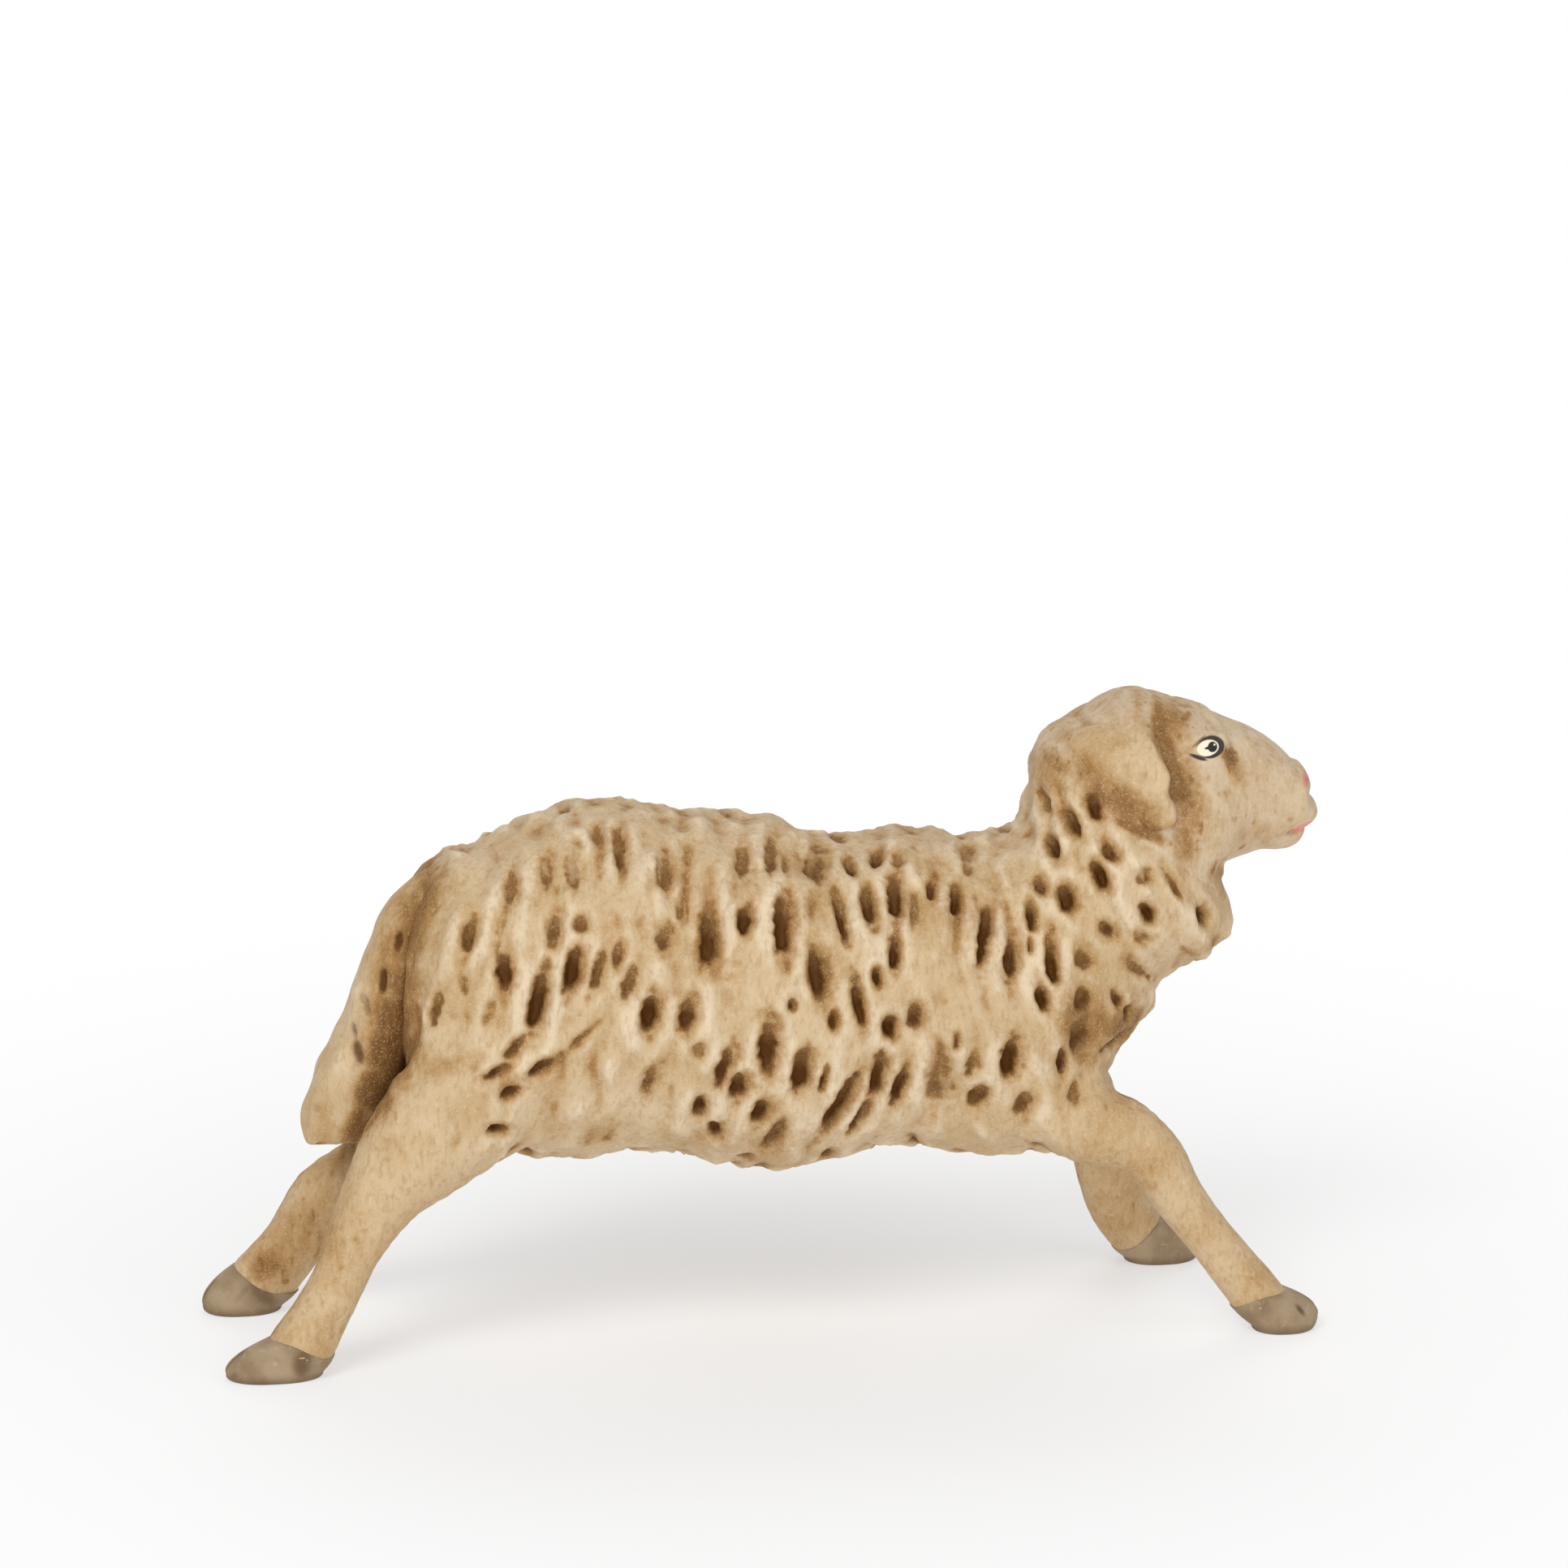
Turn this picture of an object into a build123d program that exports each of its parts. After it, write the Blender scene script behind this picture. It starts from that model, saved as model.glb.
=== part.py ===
"""Running sheep figurine: hollow composition halves, cast limbs and hidden stiffeners."""
import math
import os

from build123d import *

# Frame: X runs forward to the nose, Y to the animal's left, Z up from the floor.
# X is counted from the rump until the finished figure is centred on its bounding box.
# Every length is in millimetres. A table of shares multiplies the named sizes of its piece.

# Torso shells
torso_length = 73.0
torso_depth = 38.0
torso_width = 27.2
belly_height = 16.4
shell_wall = 3.0
# Along the torso, underside, back line and breadth, from the rump to the chest
torso_shares = [
    (0.000, 0.36, 0.64, 0.30),
    (0.040, 0.20, 0.785, 0.60),
    (0.108, 0.08, 0.915, 0.84),
    (0.230, 0.04, 0.985, 0.96),
    (0.340, 0.05, 1.00, 0.985),
    (0.475, 0.00, 0.95, 1.00),
    (0.610, 0.02, 0.88, 0.97),
    (0.745, 0.02, 0.885, 0.93),
    (0.865, 0.00, 0.80, 0.82),
    (0.945, 0.06, 0.67, 0.60),
    (1.000, 0.20, 0.52, 0.30),
]
# Rings at each end of the torso that the hollow stops short of
solid_end_rings = 2

# Fleece pits, pressed alike into both sides of the torso and neck
pit_length = 5.0
pit_width = 1.7
# Along the torso, height above the belly, length, width and forward lean of each pit
torso_pit_shares = [
    (0.084, 0.739, 0.75, 0.95, 0.21),
    (0.128, 0.652, 0.90, 1.05, 0.00),
    (0.170, 0.569, 1.20, 0.95, 0.21),
    (0.218, 0.659, 1.00, 0.95, 0.21),
    (0.320, 0.533, 0.80, 1.05, 0.14),
    (0.371, 0.523, 0.75, 0.95, 0.09),
    (0.402, 0.714, 1.25, 1.05, -0.04),
    (0.420, 0.374, 0.80, 0.95, 0.36),
    (0.452, 0.762, 0.55, 0.90, 0.00),
    (0.471, 0.243, 0.55, 0.95, 0.47),
    (0.481, 0.431, 1.15, 1.10, 0.00),
    (0.504, 0.745, 1.25, 1.05, 0.00),
    (0.526, 0.359, 0.95, 1.10, 0.18),
    (0.549, 0.618, 1.20, 0.95, -0.14),
    (0.582, 0.257, 1.50, 0.90, 0.62),
    (0.605, 0.530, 1.00, 0.65, -0.18),
    (0.632, 0.335, 0.90, 0.95, 0.21),
    (0.648, 0.462, 0.50, 0.90, 0.00),
    (0.655, 0.656, 0.75, 0.65, 0.00),
    (0.662, 0.795, 0.90, 0.95, -0.09),
    (0.747, 0.775, 0.70, 0.75, 0.00),
    (0.772, 0.252, 0.55, 1.05, 0.58),
    (0.782, 0.695, 1.50, 0.80, 0.14),
    (0.813, 0.367, 0.90, 1.10, 0.14),
]

# Neck, from inside the shoulders to the seam under the head
neck_base_behind_chest = 13.0
neck_base_above_belly = 17.6
neck_reach = 13.1
neck_rise = 16.9
neck_depth = 29.0
neck_width = 22.0
head_seam_pitch = 53.0
# Ahead, rise, depth and breadth
neck_shares = [
    (0.00, 0.00, 1.00, 1.00),
    (0.46, 0.39, 0.97, 0.96),
    (0.97, 0.66, 0.95, 0.94),
    (1.00, 1.00, 0.84, 0.80),
]

# Along the neck, towards the throat, length, width and forward lean of each pit
neck_pit_shares = [
    (0.31, -0.03, 1.00, 0.75, -0.14),
    (0.26, 0.31, 0.60, 1.20, 0.00),
    (0.58, -0.19, 0.60, 0.95, -0.18),
    (0.76, -0.12, 0.65, 0.95, -0.27),
    (0.57, 0.16, 0.45, 0.80, -0.36),
    (0.75, 0.32, 0.45, 0.90, -0.27),
    (0.88, 0.68, 0.40, 0.90, -0.27),
]

# Head
poll_behind_seam = 10.5
chin_below_seam = 6.1
head_length = 29.7
head_depth = 19.8
head_width = 16.2
# Along the head, jaw line, crown line and breadth, from the poll to the muzzle
head_shares = [
    (0.000, 0.49, 0.76, 0.30),
    (0.115, 0.26, 0.88, 0.72),
    (0.295, 0.12, 0.99, 0.95),
    (0.470, 0.04, 0.97, 0.93),
    (0.640, 0.02, 0.865, 0.80),
    (0.790, 0.10, 0.745, 0.62),
    (0.910, 0.15, 0.62, 0.50),
    (0.975, 0.19, 0.52, 0.38),
    (1.000, 0.27, 0.43, 0.20),
]

# Ears
ear_root_past_poll = 8.4
ear_root_inset = 3.5
ear_root_below_crown = 2.0
ear_reach = 4.6
ear_spread = 4.4
ear_drop = 10.0
ear_breadth = 7.8
ear_thickness = 2.2
ear_peg_diameter = 2.4
ear_peg_length = 4.6
# Ahead, side, drop, breadth and thickness, from the root to the tip
ear_shares = [
    (0.00, 0.00, 0.00, 0.90, 1.00),
    (0.28, 0.68, 0.26, 1.00, 1.00),
    (0.58, 0.93, 0.60, 0.85, 0.90),
    (1.00, 1.00, 1.00, 0.42, 0.60),
]
# Rings of the ear above its peg
ear_root_rings = 1

# Tail
tail_root_ahead = 5.0
tail_root_below_back = 6.4
tail_reach = 12.2
tail_drop = 27.0
tail_depth = 6.8
tail_width = 8.8
# Behind, drop, depth and breadth, from the root to the end
tail_shares = [
    (0.00, 0.00, 0.50, 0.55),
    (0.345, 0.11, 0.76, 0.80),
    (0.49, 0.315, 0.88, 0.95),
    (0.67, 0.575, 0.90, 1.00),
    (0.885, 0.815, 1.00, 1.00),
    (1.00, 1.00, 0.92, 0.82),
]
tail_pin_diameter = 2.0
tail_pin_length = 7.0
# Rings of the tail above its pin, and where the pin sits on the way to the next ring
tail_root_rings = 2
tail_pin_drop_share = 0.50

# Shoulders, hips and legs
shoulder_behind_chest = 13.5
shoulder_above_belly = 11.1
shoulder_side = 6.0
hip_ahead = 12.5
hip_above_belly = 15.1
hip_side = 6.6
fore_leg_depth = 13.0
fore_leg_width = 9.6
hind_leg_depth = 18.0
hind_leg_width = 10.4
# Rings of the leg that belong to its root on the shell, down to the glued seam
leg_root_rings = 2

fore_right_stride = 25.4
fore_right_splay = 4.9
fore_right_foot_height = 3.7
fore_right_seam_lean_share = 0.306
# Ahead, side, drop, depth and breadth, from the shoulder to the hoof
fore_right_shares = [
    (0.00, 0.00, 0.00, 1.00, 1.00),
    (0.335, 0.41, 0.205, 0.69, 0.81),
    (0.48, 0.51, 0.28, 0.55, 0.67),
    (0.605, 0.61, 0.395, 0.49, 0.60),
    (0.705, 0.71, 0.575, 0.41, 0.51),
    (0.835, 0.82, 0.77, 0.385, 0.49),
    (1.00, 1.00, 1.00, 0.44, 0.54),
]

fore_left_stride = 18.1
fore_left_splay = 5.0
fore_left_foot_height = 3.0
fore_left_seam_lean_share = 0.577
fore_left_shares = [
    (0.00, 0.00, 0.00, 1.00, 1.00),
    (0.43, 0.40, 0.27, 0.69, 0.81),
    (0.625, 0.60, 0.48, 0.51, 0.62),
    (0.755, 0.74, 0.695, 0.42, 0.52),
    (0.865, 0.88, 0.87, 0.41, 0.51),
    (1.00, 1.00, 1.00, 0.44, 0.54),
]

hind_right_stride = 23.4
hind_right_splay = 4.0
hind_right_foot_height = 3.25
hind_right_seam_lean_share = 0.306
# Behind, side, drop, depth and breadth, from the hip to the hoof
hind_right_shares = [
    (0.00, 0.00, 0.00, 1.00, 1.00),
    (0.415, 0.375, 0.305, 0.78, 0.88),
    (0.615, 0.50, 0.46, 0.50, 0.73),
    (0.77, 0.65, 0.65, 0.35, 0.54),
    (0.87, 0.80, 0.82, 0.295, 0.47),
    (1.00, 1.00, 1.00, 0.365, 0.52),
]

hind_left_stride = 25.8
hind_left_splay = 3.2
hind_left_foot_height = 2.8
hind_left_seam_lean_share = 0.445
hind_left_shares = [
    (0.00, 0.00, 0.00, 1.00, 1.00),
    (0.375, 0.41, 0.315, 0.78, 0.88),
    (0.585, 0.59, 0.52, 0.50, 0.73),
    (0.74, 0.75, 0.70, 0.345, 0.53),
    (0.87, 0.875, 0.865, 0.305, 0.48),
    (1.00, 1.00, 1.00, 0.38, 0.52),
]

# Hooves: the lead is how far the sole lies beyond the seam, towards the toe
hoof_width = 5.2
cleft_width = 0.7
cleft_length = 2.4
fore_right_sole_lead = 3.0
fore_right_sole_length = 6.8
fore_left_sole_lead = 2.0
fore_left_sole_length = 8.0
hind_right_sole_lead = 2.9
hind_right_sole_length = 9.8
hind_left_sole_lead = 2.1
hind_left_sole_length = 9.0

# Hidden stiffeners and their fits
wire_diameter = 1.6
wire_hoof_depth = 1.2
# Where the wire ends between the first two rings of a leg, and how much of a run an arc takes
wire_root_share = 0.45
arc_run_share = 0.45
dowel_diameter = 4.0
dowel_length = 16.0
fit_gap = 0.06
end_gap = 0.2
glue_gap = 0.1


def ring_plane(centre, normal):
    """Plane of a limb's section, with its depth axis square to the animal's side."""
    side_axis = Vector(0, 1, 0)
    side = (side_axis - normal * normal.dot(side_axis)).normalized()
    return Plane(centre, x_dir=side.cross(normal), z_dir=normal)


def barrel_rings(shares, start, length, base, depth, width, grow=0):
    """Upright elliptical sections along X, swollen or shrunk by grow."""
    rings = []
    for along, low, high, breadth in shares:
        centre = Vector(start + along * length, 0, base + (low + high) / 2 * depth)
        section = Ellipse((high - low) * depth / 2 + grow, breadth * width / 2 + grow)
        rings.append(Plane(centre, x_dir=(0, 0, 1), z_dir=(1, 0, 0)) * section)
    return rings


def limb_rings(points, depths, widths, end_normal=None, grow=0):
    """Elliptical sections square to the way a limb runs through its points."""
    rings = []
    last = len(points) - 1
    for index, point in enumerate(points):
        run = points[min(index + 1, last)] - points[max(index - 1, 0)]
        normal = end_normal if end_normal and index == last else run.normalized()
        section = Ellipse(depths[index] / 2 + grow, widths[index] / 2 + grow)
        rings.append(ring_plane(point, normal) * section)
    return rings


def spread(first, final, shares):
    """Points between two ends, each axis by its own share of the way."""
    points = []
    for share_x, share_y, share_z in shares:
        way = final - first
        points.append(first + Vector(way.X * share_x, way.Y * share_y, way.Z * share_z))
    return points


def wire_tube(points, radius, stretch=0):
    """Round bar along straight runs with tangent arcs, each end longer by stretch."""
    first = points[0] + (points[0] - points[1]).normalized() * stretch
    final = points[-1] + (points[-1] - points[-2]).normalized() * stretch
    route = [first, *points[1:-1], final]
    radii = []
    for before, corner, after in zip(route, route[1:], route[2:]):
        turn = math.radians((corner - before).get_angle(after - corner))
        shorter_run = min((corner - before).length, (after - corner).length)
        radii.append(arc_run_share * shorter_run / math.tan(turn / 2))
    path = FilletPolyline(*route, radius=radii)
    tube = sweep(Plane(path @ 0, z_dir=path % 0) * Circle(radius), path=path)
    return tube, path.length, radii


def bar(centre, axis, diameter, length):
    """Straight round bar about its centre."""
    return Plane(centre, z_dir=axis) * Cylinder(diameter / 2, length)


def outermost(solid, line):
    """First point of a solid's surface along a line, and the outward direction there."""
    hits = []
    for face in solid.faces():
        hits += face.find_intersection_points(line)
    point, normal = min(hits, key=lambda hit: (hit[0] - line.position).length)
    return point, normal * math.copysign(1, -normal.dot(line.direction))


def torso(grow=0):
    return loft(barrel_rings(torso_shares, 0, torso_length,
                             belly_height, torso_depth, torso_width, grow))


def head_form(grow=0):
    return loft(barrel_rings(head_shares, poll_ahead, head_length,
                             chin_height, head_depth, head_width, grow))


# Neck and head meet on one sloping plane
seam_pitch = math.radians(head_seam_pitch)
seam_normal = Vector(math.cos(seam_pitch), 0, math.sin(seam_pitch))
neck_base = Vector(torso_length - neck_base_behind_chest, 0, belly_height + neck_base_above_belly)
seam_centre = neck_base + Vector(neck_reach, 0, neck_rise)
poll_ahead = seam_centre.X - poll_behind_seam
chin_height = seam_centre.Z - chin_below_seam
neck_points = spread(neck_base, seam_centre, [(ahead, 0, rise) for ahead, rise, _, _ in neck_shares])
neck_depths = [deep * neck_depth for _, _, deep, _ in neck_shares]
neck_widths = [wide * neck_width for _, _, _, wide in neck_shares]


def neck(grow=0):
    return loft(limb_rings(neck_points, neck_depths, neck_widths, seam_normal, grow))


nodes = {}
shell_cuts = []
roots = []

# Legs, hooves and leg wires
shoulder = Vector(torso_length - shoulder_behind_chest, shoulder_side, belly_height + shoulder_above_belly)
hip = Vector(hip_ahead, hip_side, belly_height + hip_above_belly)
fore_size = (fore_leg_depth, fore_leg_width)
hind_size = (hind_leg_depth, hind_leg_width)
leg_plans = {
    "fore_right": (-1, shoulder, fore_size, fore_right_shares, fore_right_stride, fore_right_splay,
                   fore_right_foot_height, fore_right_seam_lean_share,
                   fore_right_sole_lead, fore_right_sole_length),
    "fore_left": (1, shoulder, fore_size, fore_left_shares, fore_left_stride, fore_left_splay,
                  fore_left_foot_height, fore_left_seam_lean_share,
                  fore_left_sole_lead, fore_left_sole_length),
    "hind_right": (-1, hip, hind_size, hind_right_shares, -hind_right_stride, hind_right_splay,
                   hind_right_foot_height, hind_right_seam_lean_share,
                   hind_right_sole_lead, hind_right_sole_length),
    "hind_left": (1, hip, hind_size, hind_left_shares, -hind_left_stride, hind_left_splay,
                  hind_left_foot_height, hind_left_seam_lean_share,
                  hind_left_sole_lead, hind_left_sole_length),
}

body_skin = torso(glue_gap) + neck(glue_gap)
for name, plan in leg_plans.items():
    side, root, size, shares, stride, splay, foot_height, lean, lead, sole_length = plan
    end, hand = name.split("_")
    toe = math.copysign(1, stride)
    root_point = Vector(root.X, side * root.Y, root.Z)
    foot_point = Vector(root.X + stride, side * (root.Y + splay), foot_height)
    points = spread(root_point, foot_point, [row[:3] for row in shares])
    depths = [deep * size[0] for _, _, _, deep, _ in shares]
    widths = [wide * size[1] for _, _, _, _, wide in shares]
    foot_normal = Vector(toe * lean, 0, -1).normalized()
    rings = limb_rings(points, depths, widths, foot_normal)

    # The wire runs from the leg root on the shell to a blind hole in the hoof
    top = points[0] + (points[1] - points[0]) * wire_root_share
    tip = foot_point + (points[-1] - points[-2]).normalized() * wire_hoof_depth
    route = [top, *points[1:-1], tip]
    wire, wire_length, radii = wire_tube(route, wire_diameter / 2)
    bore, _, _ = wire_tube(route, wire_diameter / 2 + fit_gap, end_gap)
    expected = math.pi * (wire_diameter / 2) ** 2 * wire_length
    print(f"{end}_wire_{hand}: volume {wire.volume:.2f}, section times length {expected:.2f},",
          "arc radii", ", ".join(f"{radius:.1f}" for radius in radii))

    roots.append(loft(rings[:leg_root_rings]))
    shell_cuts.append(bore)
    nodes[f"{end}_leg_{hand}"] = loft(rings[leg_root_rings - 1:]) - body_skin - bore
    nodes[f"{end}_wire_{hand}"] = wire

    # The hoof widens from the leg's last section to a flat sole on the floor
    sole_centre = Vector(foot_point.X + toe * lead, foot_point.Y, 0)
    sole = ring_plane(sole_centre, Vector(0, 0, -1)) * Ellipse(sole_length / 2, hoof_width / 2)
    toe_tip = sole_centre + Vector(toe * sole_length / 2, 0, 0)
    cleft = Pos(toe_tip) * Box(2 * cleft_length, cleft_width, 2 * foot_point.Z)
    nodes[f"{end}_hoof_{hand}"] = loft([rings[-1], sole]) - bore - cleft

# Tail and its pin, which lies on the median plane
tail_root = Vector(tail_root_ahead, 0, belly_height + torso_depth - tail_root_below_back)
tail_end = tail_root - Vector(tail_reach, 0, tail_drop)
tail_points = spread(tail_root, tail_end, [(behind, 0, drop) for behind, drop, _, _ in tail_shares])
tail_depths = [deep * tail_depth for _, _, deep, _ in tail_shares]
tail_widths = [wide * tail_width for _, _, _, wide in tail_shares]
tail_form = loft(limb_rings(tail_points, tail_depths, tail_widths))
pin_axis = Vector(1, 0, 0)
pin_run = tail_points[tail_root_rings] - tail_points[tail_root_rings - 1]
pin_seat = tail_points[tail_root_rings - 1] + pin_run * tail_pin_drop_share
pin_centre = pin_seat + pin_axis * tail_pin_length / 2
nodes["tail_pin"] = bar(pin_centre, pin_axis, tail_pin_diameter, tail_pin_length)
pin_bore = bar(pin_centre, pin_axis, tail_pin_diameter + 2 * fit_gap, tail_pin_length + 2 * end_gap)
nodes["tail"] = tail_form - body_skin - pin_bore
shell_cuts.append(pin_bore)

# Head, ears and the dowel across the neck seam
nodes["neck_dowel"] = bar(seam_centre, seam_normal, dowel_diameter, dowel_length)
dowel_bore = bar(seam_centre, seam_normal, dowel_diameter + 2 * fit_gap, dowel_length + 2 * end_gap)
shell_cuts.append(dowel_bore)
seam_plane = Plane(seam_centre, z_dir=seam_normal)
head = split(head_form(), bisect_by=seam_plane, keep=Keep.TOP) - dowel_bore
head_skin = head_form(glue_gap)
for hand, side in (("right", -1), ("left", 1)):
    ear_root = Vector(poll_ahead + ear_root_past_poll, side * (head_width / 2 - ear_root_inset),
                      chin_height + head_depth - ear_root_below_crown)
    ear_tip = ear_root + Vector(ear_reach, side * ear_spread, -ear_drop)
    points = spread(ear_root, ear_tip, [row[:3] for row in ear_shares])
    breadths = [broad * ear_breadth for _, _, _, broad, _ in ear_shares]
    thicknesses = [thick * ear_thickness for _, _, _, _, thick in ear_shares]
    flap = loft(limb_rings(points, breadths, thicknesses)) - head_skin - body_skin
    inward = Vector(0, -side, 0)
    peg_centre = points[ear_root_rings] + inward * ear_peg_length / 2
    peg = bar(peg_centre, inward, ear_peg_diameter, ear_peg_length)
    nodes[f"ear_{hand}"] = flap + peg
    head -= bar(peg_centre, inward, ear_peg_diameter + 2 * fit_gap, ear_peg_length + 2 * end_gap)
nodes["head"] = head

# Shells: torso and neck with the leg roots, hollowed, bored and parted on the median plane
hollow = loft(barrel_rings(torso_shares, 0, torso_length, belly_height,
                           torso_depth, torso_width, -shell_wall)[solid_end_rings:-solid_end_rings])
body = torso() + neck() - hollow
for root in roots:
    body += root
for cut in shell_cuts:
    body -= cut
pit_places = []
for along, height, *form in torso_pit_shares:
    pit_places.append((Vector(along * torso_length, 0, belly_height + height * torso_depth), form))
neck_run = seam_centre - neck_base
throatward = neck_run.normalized().cross(Vector(0, -1, 0))
for along, across, *form in neck_pit_shares:
    pit_places.append((neck_base + neck_run * along + throatward * across * neck_depth / 2, form))
pits = []
for place, (long, wide, lean) in pit_places:
    spindle = Ellipse(long * pit_length / 2, wide * pit_width / 2)
    spindle = revolve(split(spindle, bisect_by=Plane.XZ, keep=Keep.TOP), axis=Axis.X)
    for side in (-1, 1):
        start = place + Vector(0, side * torso_width, 0)
        point, normal = outermost(body, Axis(start, Vector(0, -side, 0)))
        upright = Vector(lean, 0, 1)
        rise = (upright - normal * normal.dot(upright)).normalized()
        # The seam of the turned spindle faces out of the skin
        pits.append(Plane(point, x_dir=rise, z_dir=rise.cross(normal)) * spindle)
body -= pits
nodes["torso_right_shell"] = split(body, bisect_by=Plane.XZ, keep=Keep.TOP)
nodes["torso_left_shell"] = split(body, bisect_by=Plane.XZ, keep=Keep.BOTTOM)

# Stand the whole figure on the middle of its bounding box
box = Compound(children=[node.moved(Location()) for node in nodes.values()]).bounding_box()
shift = Location((-box.center().X, -box.center().Y, -box.min.Z))
os.makedirs("parts", exist_ok=True)
for name, node in nodes.items():
    export_step(node.moved(shift), f"parts/{name}.step")
    print(f"{name}: volume {node.volume:.2f} mm3, solids {len(node.solids())}")
print("overall size", box.size)
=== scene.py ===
import math

import bpy
import numpy as np
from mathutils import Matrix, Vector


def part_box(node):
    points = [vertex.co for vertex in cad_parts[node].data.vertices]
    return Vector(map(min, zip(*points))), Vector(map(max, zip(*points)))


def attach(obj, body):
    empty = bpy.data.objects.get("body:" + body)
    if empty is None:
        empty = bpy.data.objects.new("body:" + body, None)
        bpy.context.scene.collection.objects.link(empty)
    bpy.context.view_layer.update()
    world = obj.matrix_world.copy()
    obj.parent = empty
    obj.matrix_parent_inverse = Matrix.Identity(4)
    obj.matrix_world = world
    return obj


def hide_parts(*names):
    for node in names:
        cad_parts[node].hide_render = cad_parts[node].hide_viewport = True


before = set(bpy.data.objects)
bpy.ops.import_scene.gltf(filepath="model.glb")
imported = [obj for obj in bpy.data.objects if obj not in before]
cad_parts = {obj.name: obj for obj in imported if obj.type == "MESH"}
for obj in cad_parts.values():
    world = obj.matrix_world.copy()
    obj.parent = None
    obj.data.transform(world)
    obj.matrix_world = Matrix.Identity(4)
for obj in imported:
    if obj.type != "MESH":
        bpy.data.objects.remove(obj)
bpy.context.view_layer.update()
print("frame loaded")

# Everything is sculpted in millimetres, with the nose tip at a set place, and moved onto the frame.
millimetre = 0.001
noseTip = 56.3
frameShift = np.array([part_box("head")[1][0] / millimetre - noseTip, 0.0, 0.0])
rng = np.random.default_rng(581)
tiny = 1e-6

view = {
    "place": (-83.9, -612.4, 230.2),
    "pitch": 15.751,
    "yaw": -8.033,
    "focalPixels": 7995.0,
    "framePixels": 1932.0,
    "sensor": 36.0,
}


def smoothCurve(stations, values):
    # A cubic through the stations whose slope at each is the mean slope around it.
    xs = np.asarray(stations, float)
    ys = np.asarray(values, float)
    slope = np.gradient(ys, xs)

    def at(x):
        x = np.clip(x, xs[0], xs[-1])
        i = np.clip(np.searchsorted(xs, x) - 1, 0, len(xs) - 2)
        run = xs[i + 1] - xs[i]
        t = (x - xs[i]) / run
        rise = ys[i + 1] - ys[i]
        a = slope[i] * run - rise
        b = rise - slope[i + 1] * run
        return ys[i] + t * rise + t * (1 - t) * ((1 - t) * a + t * b)

    return at


def smoothStep(low, high, x):
    # Nothing below low, one above high, an even bend between.
    t = np.clip((x - low) / (high - low), 0.0, 1.0)
    return t * t * (3 - 2 * t)


def softUnion(a, b, width):
    # The smaller of two distances, rounded over the given width.
    h = np.clip(0.5 + 0.5 * (b - a) / width, 0.0, 1.0)
    return b + (a - b) * h - width * h * (1 - h)


def barrel(along, up, side, form):
    # Distance from a body of changing oval section with rounded ends.
    stations = form["stations"]
    s = np.clip(along, stations[0], stations[-1])
    top = smoothCurve(stations, form["top"])(s)
    bottom = smoothCurve(stations, form["bottom"])(s)
    width = smoothCurve(stations, form["halfWidth"])(s)
    past = along - s
    cap = np.where(past < 0, form["startCap"], form["endCap"])
    rise = up - (top + bottom) / 2
    p = form["power"]
    r = np.abs(2 * rise / (top - bottom)) ** p + np.abs(side / width) ** p + np.abs(past / cap) ** p
    r = np.maximum(r, tiny) ** (1 / p)
    return np.maximum(np.sqrt(rise ** 2 + side ** 2 + past ** 2), tiny) * (1 - 1 / r)


def foldedOver(points):
    # The same places on the animal's left side.
    return points * np.array([1.0, 0.0, 1.0]) + np.abs(points) * np.array([0.0, 1.0, 0.0])


def ellipsoid(points, centre, radii):
    # Distance from a rounded lump, by how far out of it a point lies along its own ray.
    offset = points - np.asarray(centre)
    r = np.maximum(np.linalg.norm(offset / np.asarray(radii), axis=1), 1e-3)
    return np.linalg.norm(offset, axis=1) * (1 - 1 / r)


def denseRows(rows, steps):
    # More rows between the given ones, on a smooth curve through each column.
    rows = np.asarray(rows, float)
    at = np.linspace(0, len(rows) - 1, (len(rows) - 1) * steps + 1)
    return np.stack([smoothCurve(range(len(rows)), column)(at) for column in rows.T], axis=1)


def limb(points, rows):
    # Distance from a row of balls joined by cones; each ball may be narrower from side to side.
    best = np.full(len(points), 50.0)
    for a, b in zip(rows[:-1], rows[1:]):
        flat = np.array([1.0, (a[3] + b[3]) / (a[4] + b[4]), 1.0])
        near = np.abs(points - (a[:3] + b[:3]) / 2).max(axis=1) < 16.0
        offset = (points[near] - a[:3]) * flat
        run = (b[:3] - a[:3]) * flat
        t = np.clip(offset @ run / (run @ run), 0.0, 1.0)
        gap = np.linalg.norm(offset - t[:, None] * run, axis=1) - (a[3] + t * (b[3] - a[3]))
        best[near] = np.minimum(best[near], gap)
    return best


torso = {
    "stations": [-28.5, -23.8, -19, -14, -9, -4, 0.5, 5.3, 10.2, 15, 20, 24, 27],
    "top": [50.3, 52.6, 54.1, 54.5, 53.5, 52.7, 52.1, 50.4, 49.8, 50.2, 49.4, 47.8, 46.0],
    "bottom": [21.0, 19.0, 18.5, 19.2, 18.5, 17.0, 16.4, 17.0, 18.2, 18.2, 17.4, 16.6, 16.5],
    "halfWidth": [11.3, 12.1, 12.6, 12.9, 12.9, 13.0, 13.0, 12.9, 12.6, 12.3, 11.8, 11.1, 10.4],
    "startCap": 7.6,
    "endCap": 8.2,
    "power": 2.25,
}

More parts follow.
